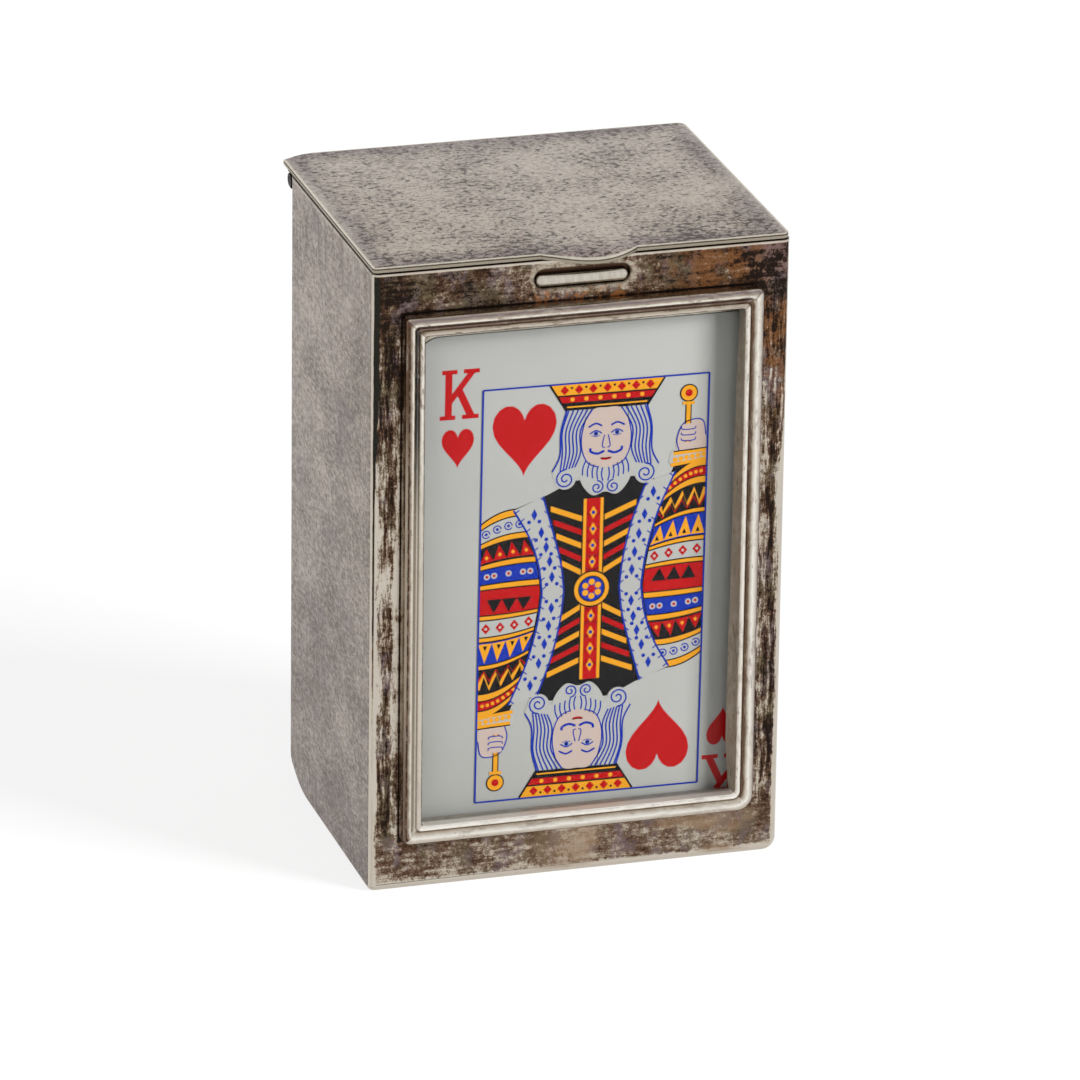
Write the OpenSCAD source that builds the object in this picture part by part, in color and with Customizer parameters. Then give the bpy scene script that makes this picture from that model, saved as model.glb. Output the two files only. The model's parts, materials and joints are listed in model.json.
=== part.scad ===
// Playing card box of sheet silver: a tall case with a glazed front in a moulded
// frame, a lid hinged along the top of the back, and a pocket behind the glass
// that shows one card. Packs of cards stand in the well behind the pocket.
// Millimetres, +Z up, front towards -Y. The origin lies under the middle of the
// whole outline, on the surface that the box stands on.

/* [Case] */
// Width of the case
case_w = 67.3; // [66:0.1:90]
// Depth of the case, without the lid's overhang
case_d = 50; // [40:0.5:80]
// Thickness of the bent sheet of the sides and back
wall_t = 0.8; // [0.6:0.05:1]
// Thickness of the front plate
front_t = 0.8; // [0.6:0.05:1.2]
// Thickness of the base plate
base_t = 0.9; // [0.7:0.05:1.5]
// Radius of the rear upright corners
rear_r = 3; // [2.4:0.1:5]
// Radius of the front upright edges
front_r = 1.2; // [1:0.1:2]
// Width of the worn slope round the underside
foot_slope = 0.6; // [0.3:0.05:0.8]

/* [Moulding] */
// Side of the case to the outer edge of the moulding
moulding_side = 4.75; // [3.5:0.05:8]
// Table to the lower edge of the moulding
moulding_foot = 8.35; // [5:0.05:12]
// Upper edge of the moulding to the top of the lid
moulding_head = 7.8; // [7:0.1:12]
// Width of the moulding
rail_w = 3.2; // [2.8:0.1:4]
// Height of the moulding's crest above the front plate
rail_crest = 2.65; // [2.4:0.05:3.2]
// Height of the moulding's outer edge
rail_edge = 1.85; // [1.2:0.05:2]
// Diameter of the bead along the window
bead_dia = 1.1; // [0.9:0.02:1.4]
// Height of that bead above the front plate
bead_top = 2.5; // [2.2:0.05:2.6]

/* [Lid] */
// Reach of the lid behind the back of the case, over the hinge
lid_over = 5.6; // [4.2:0.1:6]
// Thickness of the lid plate
lid_t = 0.8; // [0.6:0.05:1.2]
// Gap between the lid plate and the rim of the case
lid_gap = 0.1; // [0.05:0.05:0.2]
// Side of the case to the side of the lid
lid_inset = 0.15; // [0:0.05:0.4]
// Radius of the lid's front corners
lid_front_r = 0.8; // [0.5:0.1:2]
// Width of the thumb lip at the lid's edge
lip_base = 16.3; // [12:0.1:22]
// Width of the thumb lip at its tip
lip_tip = 9.4; // [6:0.1:11]
// Reach of the thumb lip in front of the case
lip_reach = 2.3; // [1.5:0.1:4]
// Drop of the thumb lip at its tip
lip_drop = 0.8; // [0.4:0.05:1.2]

/* [Lid rim and catch] */
// Depth of the inner rim under the lid plate
rim_depth = 5.6; // [5:0.1:7]
// Thickness of the inner rim
rim_t = 0.7; // [0.5:0.05:1]
// Gap between the inner rim and the front and sides of the case
rim_gap = 0.6; // [0.5:0.05:0.8]
// Gap between the inner rim and the back, wider for the swing of the lid
rim_gap_back = 0.95; // [0.85:0.05:1.3]
// Length of the catch slot
slot_l = 15; // [12:0.1:18]
// Height of the catch slot
slot_h = 3; // [2.4:0.1:3.4]
// Middle of the catch slot below the top of the lid
slot_drop = 4.2; // [4:0.1:4.6]
// Length of the catch bead
catch_l = 14.2; // [10:0.1:16]
// Height of the catch bead
catch_h = 1.9; // [1.4:0.1:2.2]
// Middle of the catch bead below the middle of the slot
catch_low = 0.8; // [0.4:0.1:1]
// Gap between the catch bead and the front plate
catch_gap = 0.2; // [0.15:0.05:0.3]

/* [Hinge] */
// Outer radius of the knuckles
knuckle_r = 1.08; // [0.95:0.01:1.2]
// Radius of the hinge pin
pin_r = 0.5; // [0.4:0.01:0.6]
// Running clearance round the pin
pin_play = 0.04; // [0.02:0.01:0.08]
// Gap between neighbouring knuckles
knuckle_gap = 0.1; // [0.05:0.05:0.3]
// Side of the case to the end of the hinge
hinge_end = 0.5; // [0.2:0.1:4]
// Gap between the knuckles and the back, and between knuckles and strips
hinge_gap = 0.07; // [0.05:0.01:0.12]
// Thickness of the strip under the lid that carries the lid's knuckles
lid_strip_t = 0.7; // [0.5:0.05:0.9]
// Width of the strip under the lid
lid_strip_w = 1.8; // [1.2:0.1:2.4]
// Thickness of the strip on the back that carries the case's knuckles
back_strip_t = 0.8; // [0.6:0.05:0.9]
// Height of the strip on the back
back_strip_h = 2.8; // [2:0.1:3.5]
// Thickness of the webs that join the knuckles to their strips
web_t = 0.9; // [0.6:0.05:1.1]

/* [Window pocket] */
// Thickness of the window glass
glass_t = 1; // [0.8:0.05:1.5]
// Thickness of the backing plate
backing_t = 0.5; // [0.4:0.05:0.8]
// Width of the slot that the card stands in
card_slot = 0.5; // [0.4:0.05:0.8]
// Play of the glass and the backing plate in their grooves
groove_play = 0.1; // [0.05:0.01:0.15]
// Thickness of the channels' outer web
channel_web = 0.4; // [0.3:0.05:0.6]
// Depth of the grooves in the channels
groove_depth = 0.5; // [0.4:0.05:0.8]
// Thickness of the channels' rear lip
channel_lip = 0.5; // [0.4:0.05:0.8]
// Height of the ledge that the glass and card stand on, above the base plate
ledge_h = 1.4; // [1:0.1:3]
// Gap between the top of the channels and the lid's inner rim
pocket_head = 0.7; // [0.4:0.1:2]
// Top of the glass and backing plate below the top of the channels
pane_drop = 0.5; // [0:0.1:1]
// Width of the card on show
card_w = 57.15; // [54:0.05:58]
// Height of the card on show, which the height of the case follows
card_l = 88.9; // [85:0.1:95]
// Room above the card, below the lid's inner rim
card_head = 6.4; // [3:0.1:20]
// Thickness of the card
card_t = 0.3; // [0.25:0.01:0.35]
// Radius of the card's corners
card_r = 3.2; // [2:0.1:4]
// Gap between the card and the right-hand channel that it leans on
card_side_gap = 0.4; // [0:0.1:1]

/* [Hidden] */
$fn = 64;
eps = 0.01;

// Places along the depth, from the front of the case to the lid's rear edge
lid_d = case_d + lid_over;
front_reach = max(lip_reach, rail_crest);
front_y = (front_reach - lid_d) / 2;
back_y = front_y + case_d;
plate_back_y = front_y + front_t;

// Heights, up from the table to the top of the lid
ledge_z = base_t + ledge_h;
lid_rim_foot_z = ledge_z + card_l + card_head;
lid_under_z = lid_rim_foot_z + rim_depth;
case_h = lid_under_z + lid_t;
rim_z = lid_under_z - lid_gap;
slot_z = case_h - slot_drop;
channel_top_z = lid_rim_foot_z - pocket_head;
pane_top_z = channel_top_z - pane_drop;

// Window and its moulding
moulding_w = case_w - 2 * moulding_side;
moulding_h = case_h - moulding_foot - moulding_head;
moulding_mid_z = moulding_foot + moulding_h / 2;
window_w = moulding_w - 2 * rail_w;
window_h = moulding_h - 2 * rail_w;
bead_r = bead_dia / 2;
// The crest is an arc over its chord, which runs from the outer edge into the bead
crest_chord = rail_w - bead_dia + bead_r / 2;
crest_rise = rail_crest - rail_edge;
crest_r = (crest_chord * crest_chord / 4 + crest_rise * crest_rise) / (2 * crest_rise);

// Hinge line
knuckle_clear_r = knuckle_r + hinge_gap;
hinge_y = back_y + knuckle_clear_r;
hinge_z = lid_under_z - lid_strip_t - knuckle_clear_r;
hinge_l = case_w - 2 * hinge_end;
KNUCKLES = 5;
knuckle_l = (hinge_l - (KNUCKLES - 1) * knuckle_gap) / KNUCKLES;
bore_r = pin_r + pin_play;

// Window pocket, measured back from the front plate
inner_w = case_w - 2 * wall_t;
groove_half_w = inner_w / 2 - channel_web;
rib_half_w = groove_half_w - groove_depth;
glass_groove = glass_t + groove_play;
backing_groove = backing_t + groove_play;
pocket_depth = glass_groove + card_slot + backing_groove + channel_lip;
pane_w = 2 * (groove_half_w - groove_play);

// Colours
SILVER = [0.66, 0.63, 0.58];
BRIGHT = [0.8, 0.77, 0.72];
DARK = [0.4, 0.36, 0.32];

// Outline from above: a rectangle from y0 to y1 with round front and rear corners
module plan(w, y0, y1, rf, rr) {
  for (side = [-1, 1]) {
    translate([side * (w / 2 - rf), y0 + rf]) circle(rf);
    translate([side * (w / 2 - rr), y1 - rr]) circle(rr);
  }
  translate([-w / 2, y0 + rf]) square([w, y1 - y0 - rf - rr]);
  translate([-w / 2 + rf, y0]) square([w - 2 * rf, y1 - y0 - rr]);
  translate([-w / 2 + rr, y0 + rf]) square([w - 2 * rr, y1 - y0 - rf]);
}

module case_plan(inset = 0) {
  plan(case_w - 2 * inset, front_y + inset, back_y - inset, front_r - inset, rear_r - inset);
}

// Slab right across the case between two depths
module depth_slab(y0, y1) {
  translate([-case_w, y0, 0]) cube([2 * case_w, y1 - y0, case_h]);
}

// Oblong with round ends, standing in a plane that faces the front
module stadium(l, h, depth) {
  rotate([90, 0, 0]) linear_extrude(depth) {
    square([l - h, h], center = true);
    for (side = [-1, 1]) translate([side * (l - h) / 2, 0]) circle(h / 2);
  }
}

module wall_wrap() {
  color(SILVER) difference() {
    translate([0, 0, base_t]) linear_extrude(rim_z - base_t) case_plan();
    linear_extrude(case_h)
      plan(inner_w, front_y - wall_t, back_y - wall_t, wall_t, rear_r - wall_t);
    depth_slab(front_y - wall_t, plate_back_y);
  }
}

module front_plate() {
  color(DARK) difference() {
    translate([0, 0, base_t]) linear_extrude(rim_z - base_t) case_plan();
    depth_slab(plate_back_y, back_y + wall_t);
    translate([-window_w / 2, front_y - eps, moulding_mid_z - window_h / 2])
      cube([window_w, front_t + 2 * eps, window_h]);
    translate([0, plate_back_y + eps, slot_z]) stadium(slot_l, slot_h, front_t + 2 * eps);
  }
}

module base_plate() {
  color(SILVER) hull() {
    linear_extrude(eps) case_plan(foot_slope, $fn = 32);
    translate([0, 0, foot_slope]) linear_extrude(base_t - foot_slope) case_plan($fn = 32);
  }
}

// Section of the moulding: X from the outer edge to the window, Y out of the front plate
module rail_section() {
  square([rail_w, rail_edge]);
  intersection() {
    translate([crest_chord / 2, rail_crest - crest_r]) circle(crest_r);
    square([rail_w, rail_crest]);
  }
  translate([rail_w - bead_r, bead_top - bead_r]) circle(bead_r);
  translate([rail_w - bead_dia, 0]) square([bead_dia, bead_top - bead_r]);
}

// One mitred rail: outer edge of length l along X at y = 0, window towards +Y, crest up
module rail(l) {
  intersection() {
    translate([-l / 2, 0, 0]) rotate([90, 0, 90]) linear_extrude(l) rail_section();
    linear_extrude(rail_crest + bead_dia)
      polygon([[-l / 2, 0], [l / 2, 0], [l / 2 - rail_w, rail_w], [rail_w - l / 2, rail_w]]);
  }
}

// A rail on the front plate, turned about the window's middle
module placed_rail(turn, l, reach) {
  color(BRIGHT) translate([0, front_y, moulding_mid_z]) rotate([90, turn, 0])
    translate([0, -reach, 0]) rail(l);
}

module moulding_bottom() { placed_rail(0, moulding_w, moulding_h / 2); }
module moulding_left() { placed_rail(90, moulding_h, moulding_w / 2); }
module moulding_top() { placed_rail(180, moulding_w, moulding_h / 2); }
module moulding_right() { placed_rail(270, moulding_h, moulding_w / 2); }

// Half of the lip's outline: an S-shaped side from the lid's edge to the tip
function lip_y(x) = -lip_reach * (1 + cos(180 * (x - lip_tip / 2) / (lip_base / 2 - lip_tip / 2))) / 2;
lip_xs = [for (i = [0:12]) lip_tip / 2 + (lip_base - lip_tip) / 2 * i / 12];
lip_right = [for (x = lip_xs) [x, lip_y(x)]];
lip_left = [for (i = [12:-1:0]) [-lip_xs[i], lip_y(lip_xs[i])]];
lip_root = 1;

// The drop follows a parabola from the lid's front edge to the tip
lip_steps = 8;
function lip_sag(s) = lip_drop * s * s;
lip_top = [for (i = [0:lip_steps]) [-lip_reach * i / lip_steps, -lip_sag(i / lip_steps)]];
lip_under = [for (i = [lip_steps:-1:0]) [-lip_reach * i / lip_steps, -lid_t - lip_sag(i / lip_steps)]];

module thumb_lip() {
  translate([0, front_y, case_h]) intersection() {
    translate([0, 0, -lid_t - 2 * lip_drop]) linear_extrude(lid_t + 4 * lip_drop)
      polygon(concat(lip_left, lip_right, [[lip_base / 2, lip_root], [-lip_base / 2, lip_root]]));
    rotate([90, 0, 90]) linear_extrude(lip_base, center = true)
      polygon(concat([[lip_root, 0]], lip_top, lip_under, [[lip_root, -lid_t]]));
  }
}

module lid_plate() {
  color(SILVER) {
    translate([0, 0, lid_under_z]) linear_extrude(lid_t)
      plan(case_w - 2 * lid_inset, front_y, front_y + lid_d, lid_front_r, rear_r);
    thumb_lip();
  }
}

module lid_rim() {
  outer_w = inner_w - 2 * rim_gap;
  outer_y0 = plate_back_y + rim_gap;
  outer_y1 = back_y - wall_t - rim_gap_back;
  outer_rr = rear_r - wall_t - rim_gap;
  color(BRIGHT) translate([0, 0, lid_rim_foot_z]) difference() {
    linear_extrude(rim_depth) plan(outer_w, outer_y0, outer_y1, rim_t, outer_rr);
    translate([0, 0, -eps]) linear_extrude(rim_depth + 2 * eps)
      translate([-outer_w / 2 + rim_t, outer_y0 + rim_t])
        square([outer_w - 2 * rim_t, outer_y1 - outer_y0 - 2 * rim_t]);
  }
}

// The catch bead is domed in two steps and stops short of the front plate
module catch_bead() {
  bead_out = rim_gap - catch_gap;
  step = catch_h / 6;
  color(BRIGHT) translate([0, plate_back_y + rim_gap, slot_z - catch_low]) {
    stadium(catch_l, catch_h, bead_out / 2);
    stadium(catch_l - 2 * step, catch_h - 2 * step, bead_out);
  }
}

// Strip under the lid plate, along the whole hinge
module lid_strip() {
  color(DARK) translate([-hinge_l / 2, hinge_y - lid_strip_w / 2, hinge_z + knuckle_clear_r])
    cube([hinge_l, lid_strip_w, lid_strip_t]);
}

// Strip across the flat of the back, below the hinge line
module back_strip() {
  strip_l = case_w - 2 * rear_r;
  color(DARK) translate([-strip_l / 2, back_y, hinge_z - knuckle_clear_r - back_strip_h])
    cube([strip_l, back_strip_t, back_strip_h]);
}

// Knuckle number n from the left, with a web of size [depth, height] whose low
// corner lies at web_from, measured from the hinge line
module knuckle(n, web_from, web_size) {
  x0 = -hinge_l / 2 + n * (knuckle_l + knuckle_gap);
  color(DARK) translate([x0, hinge_y, hinge_z]) rotate([90, 0, 90]) difference() {
    union() {
      cylinder(r = knuckle_r, h = knuckle_l);
      translate(web_from) cube([web_size.x, web_size.y, knuckle_l]);
    }
    translate([0, 0, -eps]) cylinder(r = bore_r, h = knuckle_l + 2 * eps);
  }
}

module lid_knuckle(n) {
  knuckle(n, [-web_t / 2, bore_r, 0], [web_t, knuckle_clear_r - bore_r]);
}

module case_knuckle(n) {
  knuckle(n, [-knuckle_clear_r, -knuckle_clear_r, 0], [web_t, knuckle_clear_r]);
}

module case_knuckle_left() { case_knuckle(0); }
module lid_knuckle_left() { lid_knuckle(1); }
module case_knuckle_middle() { case_knuckle(2); }
module lid_knuckle_right() { lid_knuckle(3); }
module case_knuckle_right() { case_knuckle(4); }

module hinge_pin() {
  color(BRIGHT) translate([-hinge_l / 2, hinge_y, hinge_z]) rotate([0, 90, 0])
    cylinder(r = pin_r, h = hinge_l);
}

module window_glass() {
  color([0.8, 0.9, 0.9, 0.3]) translate([-pane_w / 2, plate_back_y, ledge_z])
    cube([pane_w, glass_t, pane_top_z - ledge_z]);
}

// Channel with two grooves: one holds the glass, the other the backing plate
module window_channel(side) {
  depths = [glass_groove, card_slot, backing_groove, channel_lip];
  color(SILVER) mirror([side < 0 ? 1 : 0, 0, 0]) translate([0, 0, base_t])
    linear_extrude(channel_top_z - base_t) difference() {
      translate([rib_half_w, plate_back_y]) square([inner_w / 2 - rib_half_w, pocket_depth]);
      translate([rib_half_w - eps, plate_back_y - eps])
        square([groove_depth + eps, glass_groove + eps]);
      translate([rib_half_w - eps, plate_back_y + depths[0] + depths[1]])
        square([groove_depth + eps, backing_groove]);
    }
}

module window_channel_left() { window_channel(-1); }
module window_channel_right() { window_channel(1); }

// Ledge across the pocket's foot, between the channels
module window_ledge() {
  color(SILVER) translate([-rib_half_w, plate_back_y, base_t])
    cube([2 * rib_half_w, pocket_depth, ledge_h]);
}

module backing_plate() {
  color(SILVER) translate([-pane_w / 2, plate_back_y + glass_groove + card_slot, ledge_z])
    cube([pane_w, backing_t, pane_top_z - ledge_z]);
}

// The card leans against the right-hand channel
module display_card() {
  card_x = rib_half_w - card_side_gap - card_w / 2;
  card_y = plate_back_y + glass_groove + (card_slot - card_t) / 2;
  color("white") translate([card_x, card_y + card_t, ledge_z + card_l / 2])
    rotate([90, 0, 0]) linear_extrude(card_t) {
      square([card_w - 2 * card_r, card_l], center = true);
      square([card_w, card_l - 2 * card_r], center = true);
      for (sx = [-1, 1], sy = [-1, 1])
        translate([sx * (card_w / 2 - card_r), sy * (card_l / 2 - card_r)]) circle(card_r);
    }
}

wall_wrap();
front_plate();
base_plate();
moulding_top();
moulding_bottom();
moulding_left();
moulding_right();
lid_plate();
lid_rim();
catch_bead();
lid_strip();
lid_knuckle_left();
lid_knuckle_right();
back_strip();
case_knuckle_left();
case_knuckle_middle();
case_knuckle_right();
hinge_pin();
window_glass();
window_channel_left();
window_channel_right();
window_ledge();
backing_plate();
display_card();
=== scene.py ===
# Playing card box of worn sheet silver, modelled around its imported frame
import json
import math

import bmesh
import bpy
from mathutils import Matrix, Vector

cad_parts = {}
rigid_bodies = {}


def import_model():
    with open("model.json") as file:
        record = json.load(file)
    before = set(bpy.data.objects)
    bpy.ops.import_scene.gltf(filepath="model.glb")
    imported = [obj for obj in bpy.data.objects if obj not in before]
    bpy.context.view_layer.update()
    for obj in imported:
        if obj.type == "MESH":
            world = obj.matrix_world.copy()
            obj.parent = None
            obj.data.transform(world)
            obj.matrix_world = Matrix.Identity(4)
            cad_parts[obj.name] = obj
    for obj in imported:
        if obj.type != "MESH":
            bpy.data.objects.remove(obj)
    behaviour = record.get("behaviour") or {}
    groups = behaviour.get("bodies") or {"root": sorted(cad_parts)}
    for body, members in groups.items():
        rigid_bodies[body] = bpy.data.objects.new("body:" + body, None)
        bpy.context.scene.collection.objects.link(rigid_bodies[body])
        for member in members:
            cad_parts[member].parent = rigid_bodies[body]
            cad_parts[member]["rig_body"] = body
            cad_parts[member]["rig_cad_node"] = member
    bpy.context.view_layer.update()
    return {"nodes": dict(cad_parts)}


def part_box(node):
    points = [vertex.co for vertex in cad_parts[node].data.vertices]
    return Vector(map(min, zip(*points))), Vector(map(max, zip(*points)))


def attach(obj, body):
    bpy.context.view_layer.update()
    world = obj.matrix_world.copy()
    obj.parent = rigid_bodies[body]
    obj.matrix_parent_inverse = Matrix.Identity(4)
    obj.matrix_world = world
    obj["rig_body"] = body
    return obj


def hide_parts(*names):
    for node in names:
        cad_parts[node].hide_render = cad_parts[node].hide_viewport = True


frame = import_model()
nodes = frame["nodes"]
mm = 0.001

# The places that every piece is built from, read off the frame
plateLow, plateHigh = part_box("front_plate")
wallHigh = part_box("wall_wrap")[1]
lidLow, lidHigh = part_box("lid_plate")
cardLow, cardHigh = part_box("display_card")
railLow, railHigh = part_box("moulding_left")
frontY = plateLow.y
backY = wallHigh.y
halfWidth = wallHigh.x
rimZ = wallHigh.z
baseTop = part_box("base_plate")[1].z
frameLow = Vector((railLow.x, frontY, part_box("moulding_bottom")[0].z))
frameHigh = Vector((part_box("moulding_right")[1].x, frontY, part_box("moulding_top")[1].z))
railWidth = railHigh.x - railLow.x
windowLow = frameLow + Vector((railWidth, 0, railWidth))
windowHigh = frameHigh - Vector((railWidth, 0, railWidth))
# some of them in millimetres, for the finishes
frontAt, backAt, sideAt = frontY / mm, backY / mm, halfWidth / mm
rimAt, lidTopAt = rimZ / mm, lidHigh.z / mm
print("frame: case", [round(v * 1000, 1) for v in (2 * halfWidth, backY - frontY, lidHigh.z)], "mm")


# Tools for shaping a piece in edit mode
def dropAll():
    if bpy.context.mode != "OBJECT":
        bpy.ops.object.mode_set(mode="OBJECT")
    bpy.ops.object.select_all(action="DESELECT")


def takeHold(piece):
    dropAll()
    piece.select_set(True)
    bpy.context.view_layer.objects.active = piece


def openEdit(piece):
    takeHold(piece)
    bpy.ops.object.mode_set(mode="EDIT")


def closeEdit():
    bpy.ops.object.mode_set(mode="OBJECT")


def pick(kind, wanted):
    bpy.ops.mesh.select_mode(type=kind)
    bpy.ops.mesh.select_all(action="DESELECT")
    data = bpy.context.object.data
    shape = bmesh.from_edit_mesh(data)
    parts = {"VERT": shape.verts, "EDGE": shape.edges, "FACE": shape.faces}[kind]
    for part in parts:
        if wanted(part):
            part.select_set(True)
    bmesh.update_edit_mesh(data)


def near(a, b, play=0.00002):
    return abs(a - b) < play


def edgeMiddle(edge):
    return (edge.verts[0].co + edge.verts[1].co) / 2


def runsAlong(edge, axis):
    way = edge.verts[1].co - edge.verts[0].co
    return abs(way[axis]) > 0.999 * way.length


def isLevelWith(edge, axis, place):
    return all(near(v.co[axis], place) for v in edge.verts)


def cutAway(at, facing, fill=True):
    # takes off everything on the side that facing points to
    bpy.ops.mesh.select_all(action="SELECT")
    facing = Vector(facing).normalized()
    bpy.ops.mesh.bisect(plane_co=at, plane_no=facing, use_fill=fill, clear_outer=True)


def scoreAt(at, facing):
    bpy.ops.mesh.select_all(action="SELECT")
    bpy.ops.mesh.bisect(plane_co=at, plane_no=facing)


def roundEdges(radius, segments, wanted, clamped=False):
    pick("EDGE", wanted)
    bpy.ops.mesh.bevel(offset=radius, segments=segments, affect="EDGES", clamp_overlap=clamped)


def modify(piece, kind, **settings):
    takeHold(piece)
    step = piece.modifiers.new(kind.lower(), kind)
    for name, value in settings.items():
        setattr(step, name, value)
    bpy.ops.object.modifier_apply(modifier=step.name)


def smoothOver(piece, degrees=32):
    takeHold(piece)
    bpy.ops.object.shade_smooth_by_angle(angle=math.radians(degrees))


def addBlock(name, low, high):
    dropAll()
    bpy.ops.mesh.primitive_cube_add(size=1, location=(low + high) / 2)
    piece = bpy.context.object
    piece.name = name
    piece.scale = high - low
    bpy.ops.object.transform_apply(location=True, rotation=True, scale=True)
    return piece


def finishPiece(piece, body, slot, replaced, material):
    piece.data.materials.clear()
    piece.data.materials.append(material)
    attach(piece, body)
    if replaced:
        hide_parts(*replaced)


def easedCopy(node, name, width):
    # a copy of a CAD node with its edges broken
    takeHold(nodes[node])
    bpy.ops.object.duplicate()
    piece = bpy.context.object
    piece.name = name
    piece.data.name = name
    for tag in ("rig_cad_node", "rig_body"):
        if tag in piece:
            del piece[tag]
    piece.parent = None
    openEdit(piece)
    bpy.ops.mesh.select_all(action="SELECT")
    bpy.ops.mesh.remove_doubles(threshold=0.000002)
    bpy.ops.mesh.dissolve_limited(angle_limit=math.radians(1))
    closeEdit()
    modify(
        piece,
        "BEVEL",
        width=width * mm,
        segments=2,
        limit_method="ANGLE",
        angle_limit=math.radians(40),
        harden_normals=False,
    )
    smoothOver(piece)
    return piece


# Camera, fitted to the edges of the case
cameraFit = {
    "lens": 292.75,
    "sensor": 36,
    "yaw": 16.774,
    "pitch": 21.322,
    "roll": 0.799,
    "distance": 1395.62 * mm,
    "sideways": 2.285 * mm,
    "upwards": -6.319 * mm,
    "aimDepth": 29.25 * mm,
    "aimHeight": 52 * mm,
}


def addCamera(fit):
    data = bpy.data.cameras.new("camera")
    data.lens = fit["lens"]
    data.sensor_width = fit["sensor"]
    turn = (
        Matrix.Rotation(-math.radians(fit["yaw"]), 3, "Z")
        @ Matrix.Rotation(math.radians(90 - fit["pitch"]), 3, "X")
        @ Matrix.Rotation(math.radians(fit["roll"]), 3, "Z")
    )
    aim = Vector((0, frontY + fit["aimDepth"], fit["aimHeight"]))
    place = aim + turn @ Vector((fit["sideways"], fit["upwards"], fit["distance"]))
    camera = bpy.data.objects.new("camera", data)
    bpy.context.scene.collection.objects.link(camera)
    camera.matrix_world = Matrix.Translation(place) @ turn.to_4x4()
    bpy.context.scene.camera = camera


addCamera(cameraFit)


# Node-tree tools: a value is a number, a colour or another node's output
def feed(tree, value, socket):
    if isinstance(value, bpy.types.NodeSocket):
        tree.links.new(value, socket)
    else:
        socket.default_value = value


def sums(tree, operation, *values):
    node = tree.nodes.new("ShaderNodeMath")
    node.operation = operation
    for value, socket in zip(values, node.inputs):
        feed(tree, value, socket)
    return node.outputs[0]


def plus(tree, a, b):
    return sums(tree, "ADD", a, b)


def minus(tree, a, b):
    return sums(tree, "SUBTRACT", a, b)


def times(tree, first, *others):
    for value in others:
        first = sums(tree, "MULTIPLY", first, value)
    return first


def scaled(tree, value, factor, start):
    return sums(tree, "MULTIPLY_ADD", value, factor, start)


def least(tree, a, b):
    return sums(tree, "MINIMUM", a, b)


def most(tree, a, b):
    return sums(tree, "MAXIMUM", a, b)


def awayFrom(tree, value, place=0.0):
    # how far a value lies from a place, on either side
    return sums(tree, "ABSOLUTE", minus(tree, value, place))


def fade(tree, value, low, high, start=0.0, end=1.0):
    # start below low, end above high, smooth between
    node = tree.nodes.new("ShaderNodeMapRange")
    node.interpolation_type = "SMOOTHSTEP"
    for given, socket in zip((value, low, high, start, end), node.inputs):
        feed(tree, given, socket)
    return node.outputs[0]


def between(tree, share, first, second):
    # a plain value that goes from first to second
    node = tree.nodes.new("ShaderNodeMix")
    for value, index in ((share, 0), (first, 2), (second, 3)):
        feed(tree, value, node.inputs[index])
    return node.outputs[0]


def blend(tree, share, first, second):
    # a colour that goes from first to second
    node = tree.nodes.new("ShaderNodeMix")
    node.data_type = "RGBA"
    feed(tree, share, node.inputs["Factor"])
    for value, index in ((first, 6), (second, 7)):
        if isinstance(value, tuple) and len(value) == 3:
            value = (*value, 1)
        feed(tree, value, node.inputs[index])
    return node.outputs[2]


def toneOf(tone):
    # one of the silver's tones by its name, or a colour as it is
    return silverTones.get(tone, tone)


def laidOver(tree, colour, layer, *masks):
    # a layer, written (tone, strength), over the colour where the masks are 1
    tone, strength = layer
    return blend(tree, times(tree, strength, *masks), colour, toneOf(tone))


def vectorSum(tree, operation, a, b):
    node = tree.nodes.new("ShaderNodeVectorMath")
    node.operation = operation
    feed(tree, a, node.inputs[0])
    feed(tree, b, node.inputs[1])
    return node.outputs[0]


def grain(tree, place, scale, detail=4.0, rough=0.6, stretch=None, shift=0.0):
    # noise from 0 to 1, in features per millimetre
    if stretch:
        place = vectorSum(tree, "MULTIPLY", place, stretch)
    if shift:
        place = vectorSum(tree, "ADD", place, (shift, shift * 1.7, shift * 0.6))
    node = tree.nodes.new("ShaderNodeTexNoise")
    feed(tree, place, node.inputs["Vector"])
    node.inputs["Scale"].default_value = scale
    node.inputs["Detail"].default_value = detail
    node.inputs["Roughness"].default_value = rough
    return node.outputs["Fac"]


def millimetres(tree):
    # the object's coordinates in millimetres
    coord = tree.nodes.new("ShaderNodeTexCoord")
    return vectorSum(tree, "MULTIPLY", coord.outputs["Object"], (1 / mm,) * 3)


def axesOf(tree, place, letters="XYZ"):
    split = tree.nodes.new("ShaderNodeSeparateXYZ")
    tree.links.new(place, split.inputs[0])
    return [split.outputs[letter] for letter in letters]


def startMaterial(name):
    material = bpy.data.materials.new(name)
    material.use_nodes = True
    tree = material.node_tree
    return material, tree, tree.nodes["Principled BSDF"]


def dent(tree, shader, height, strength, distance):
    bump = tree.nodes.new("ShaderNodeBump")
    bump.inputs["Strength"].default_value = strength
    bump.inputs["Distance"].default_value = distance * mm
    tree.links.new(height, bump.inputs["Height"])
    tree.links.new(bump.outputs[0], shader.inputs["Normal"])


def toneRamp(tree, value, tones):
    # a colour ramp through (place, tone) pairs
    node = tree.nodes.new("ShaderNodeValToRGB")
    marks = node.color_ramp.elements
    while len(marks) < len(tones):
        marks.new(0.5)
    for mark, (place, tone) in zip(marks, tones):
        mark.position = place
        mark.color = (*toneOf(tone), 1)
    feed(tree, value, node.inputs[0])
    return node.outputs[0]


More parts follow.
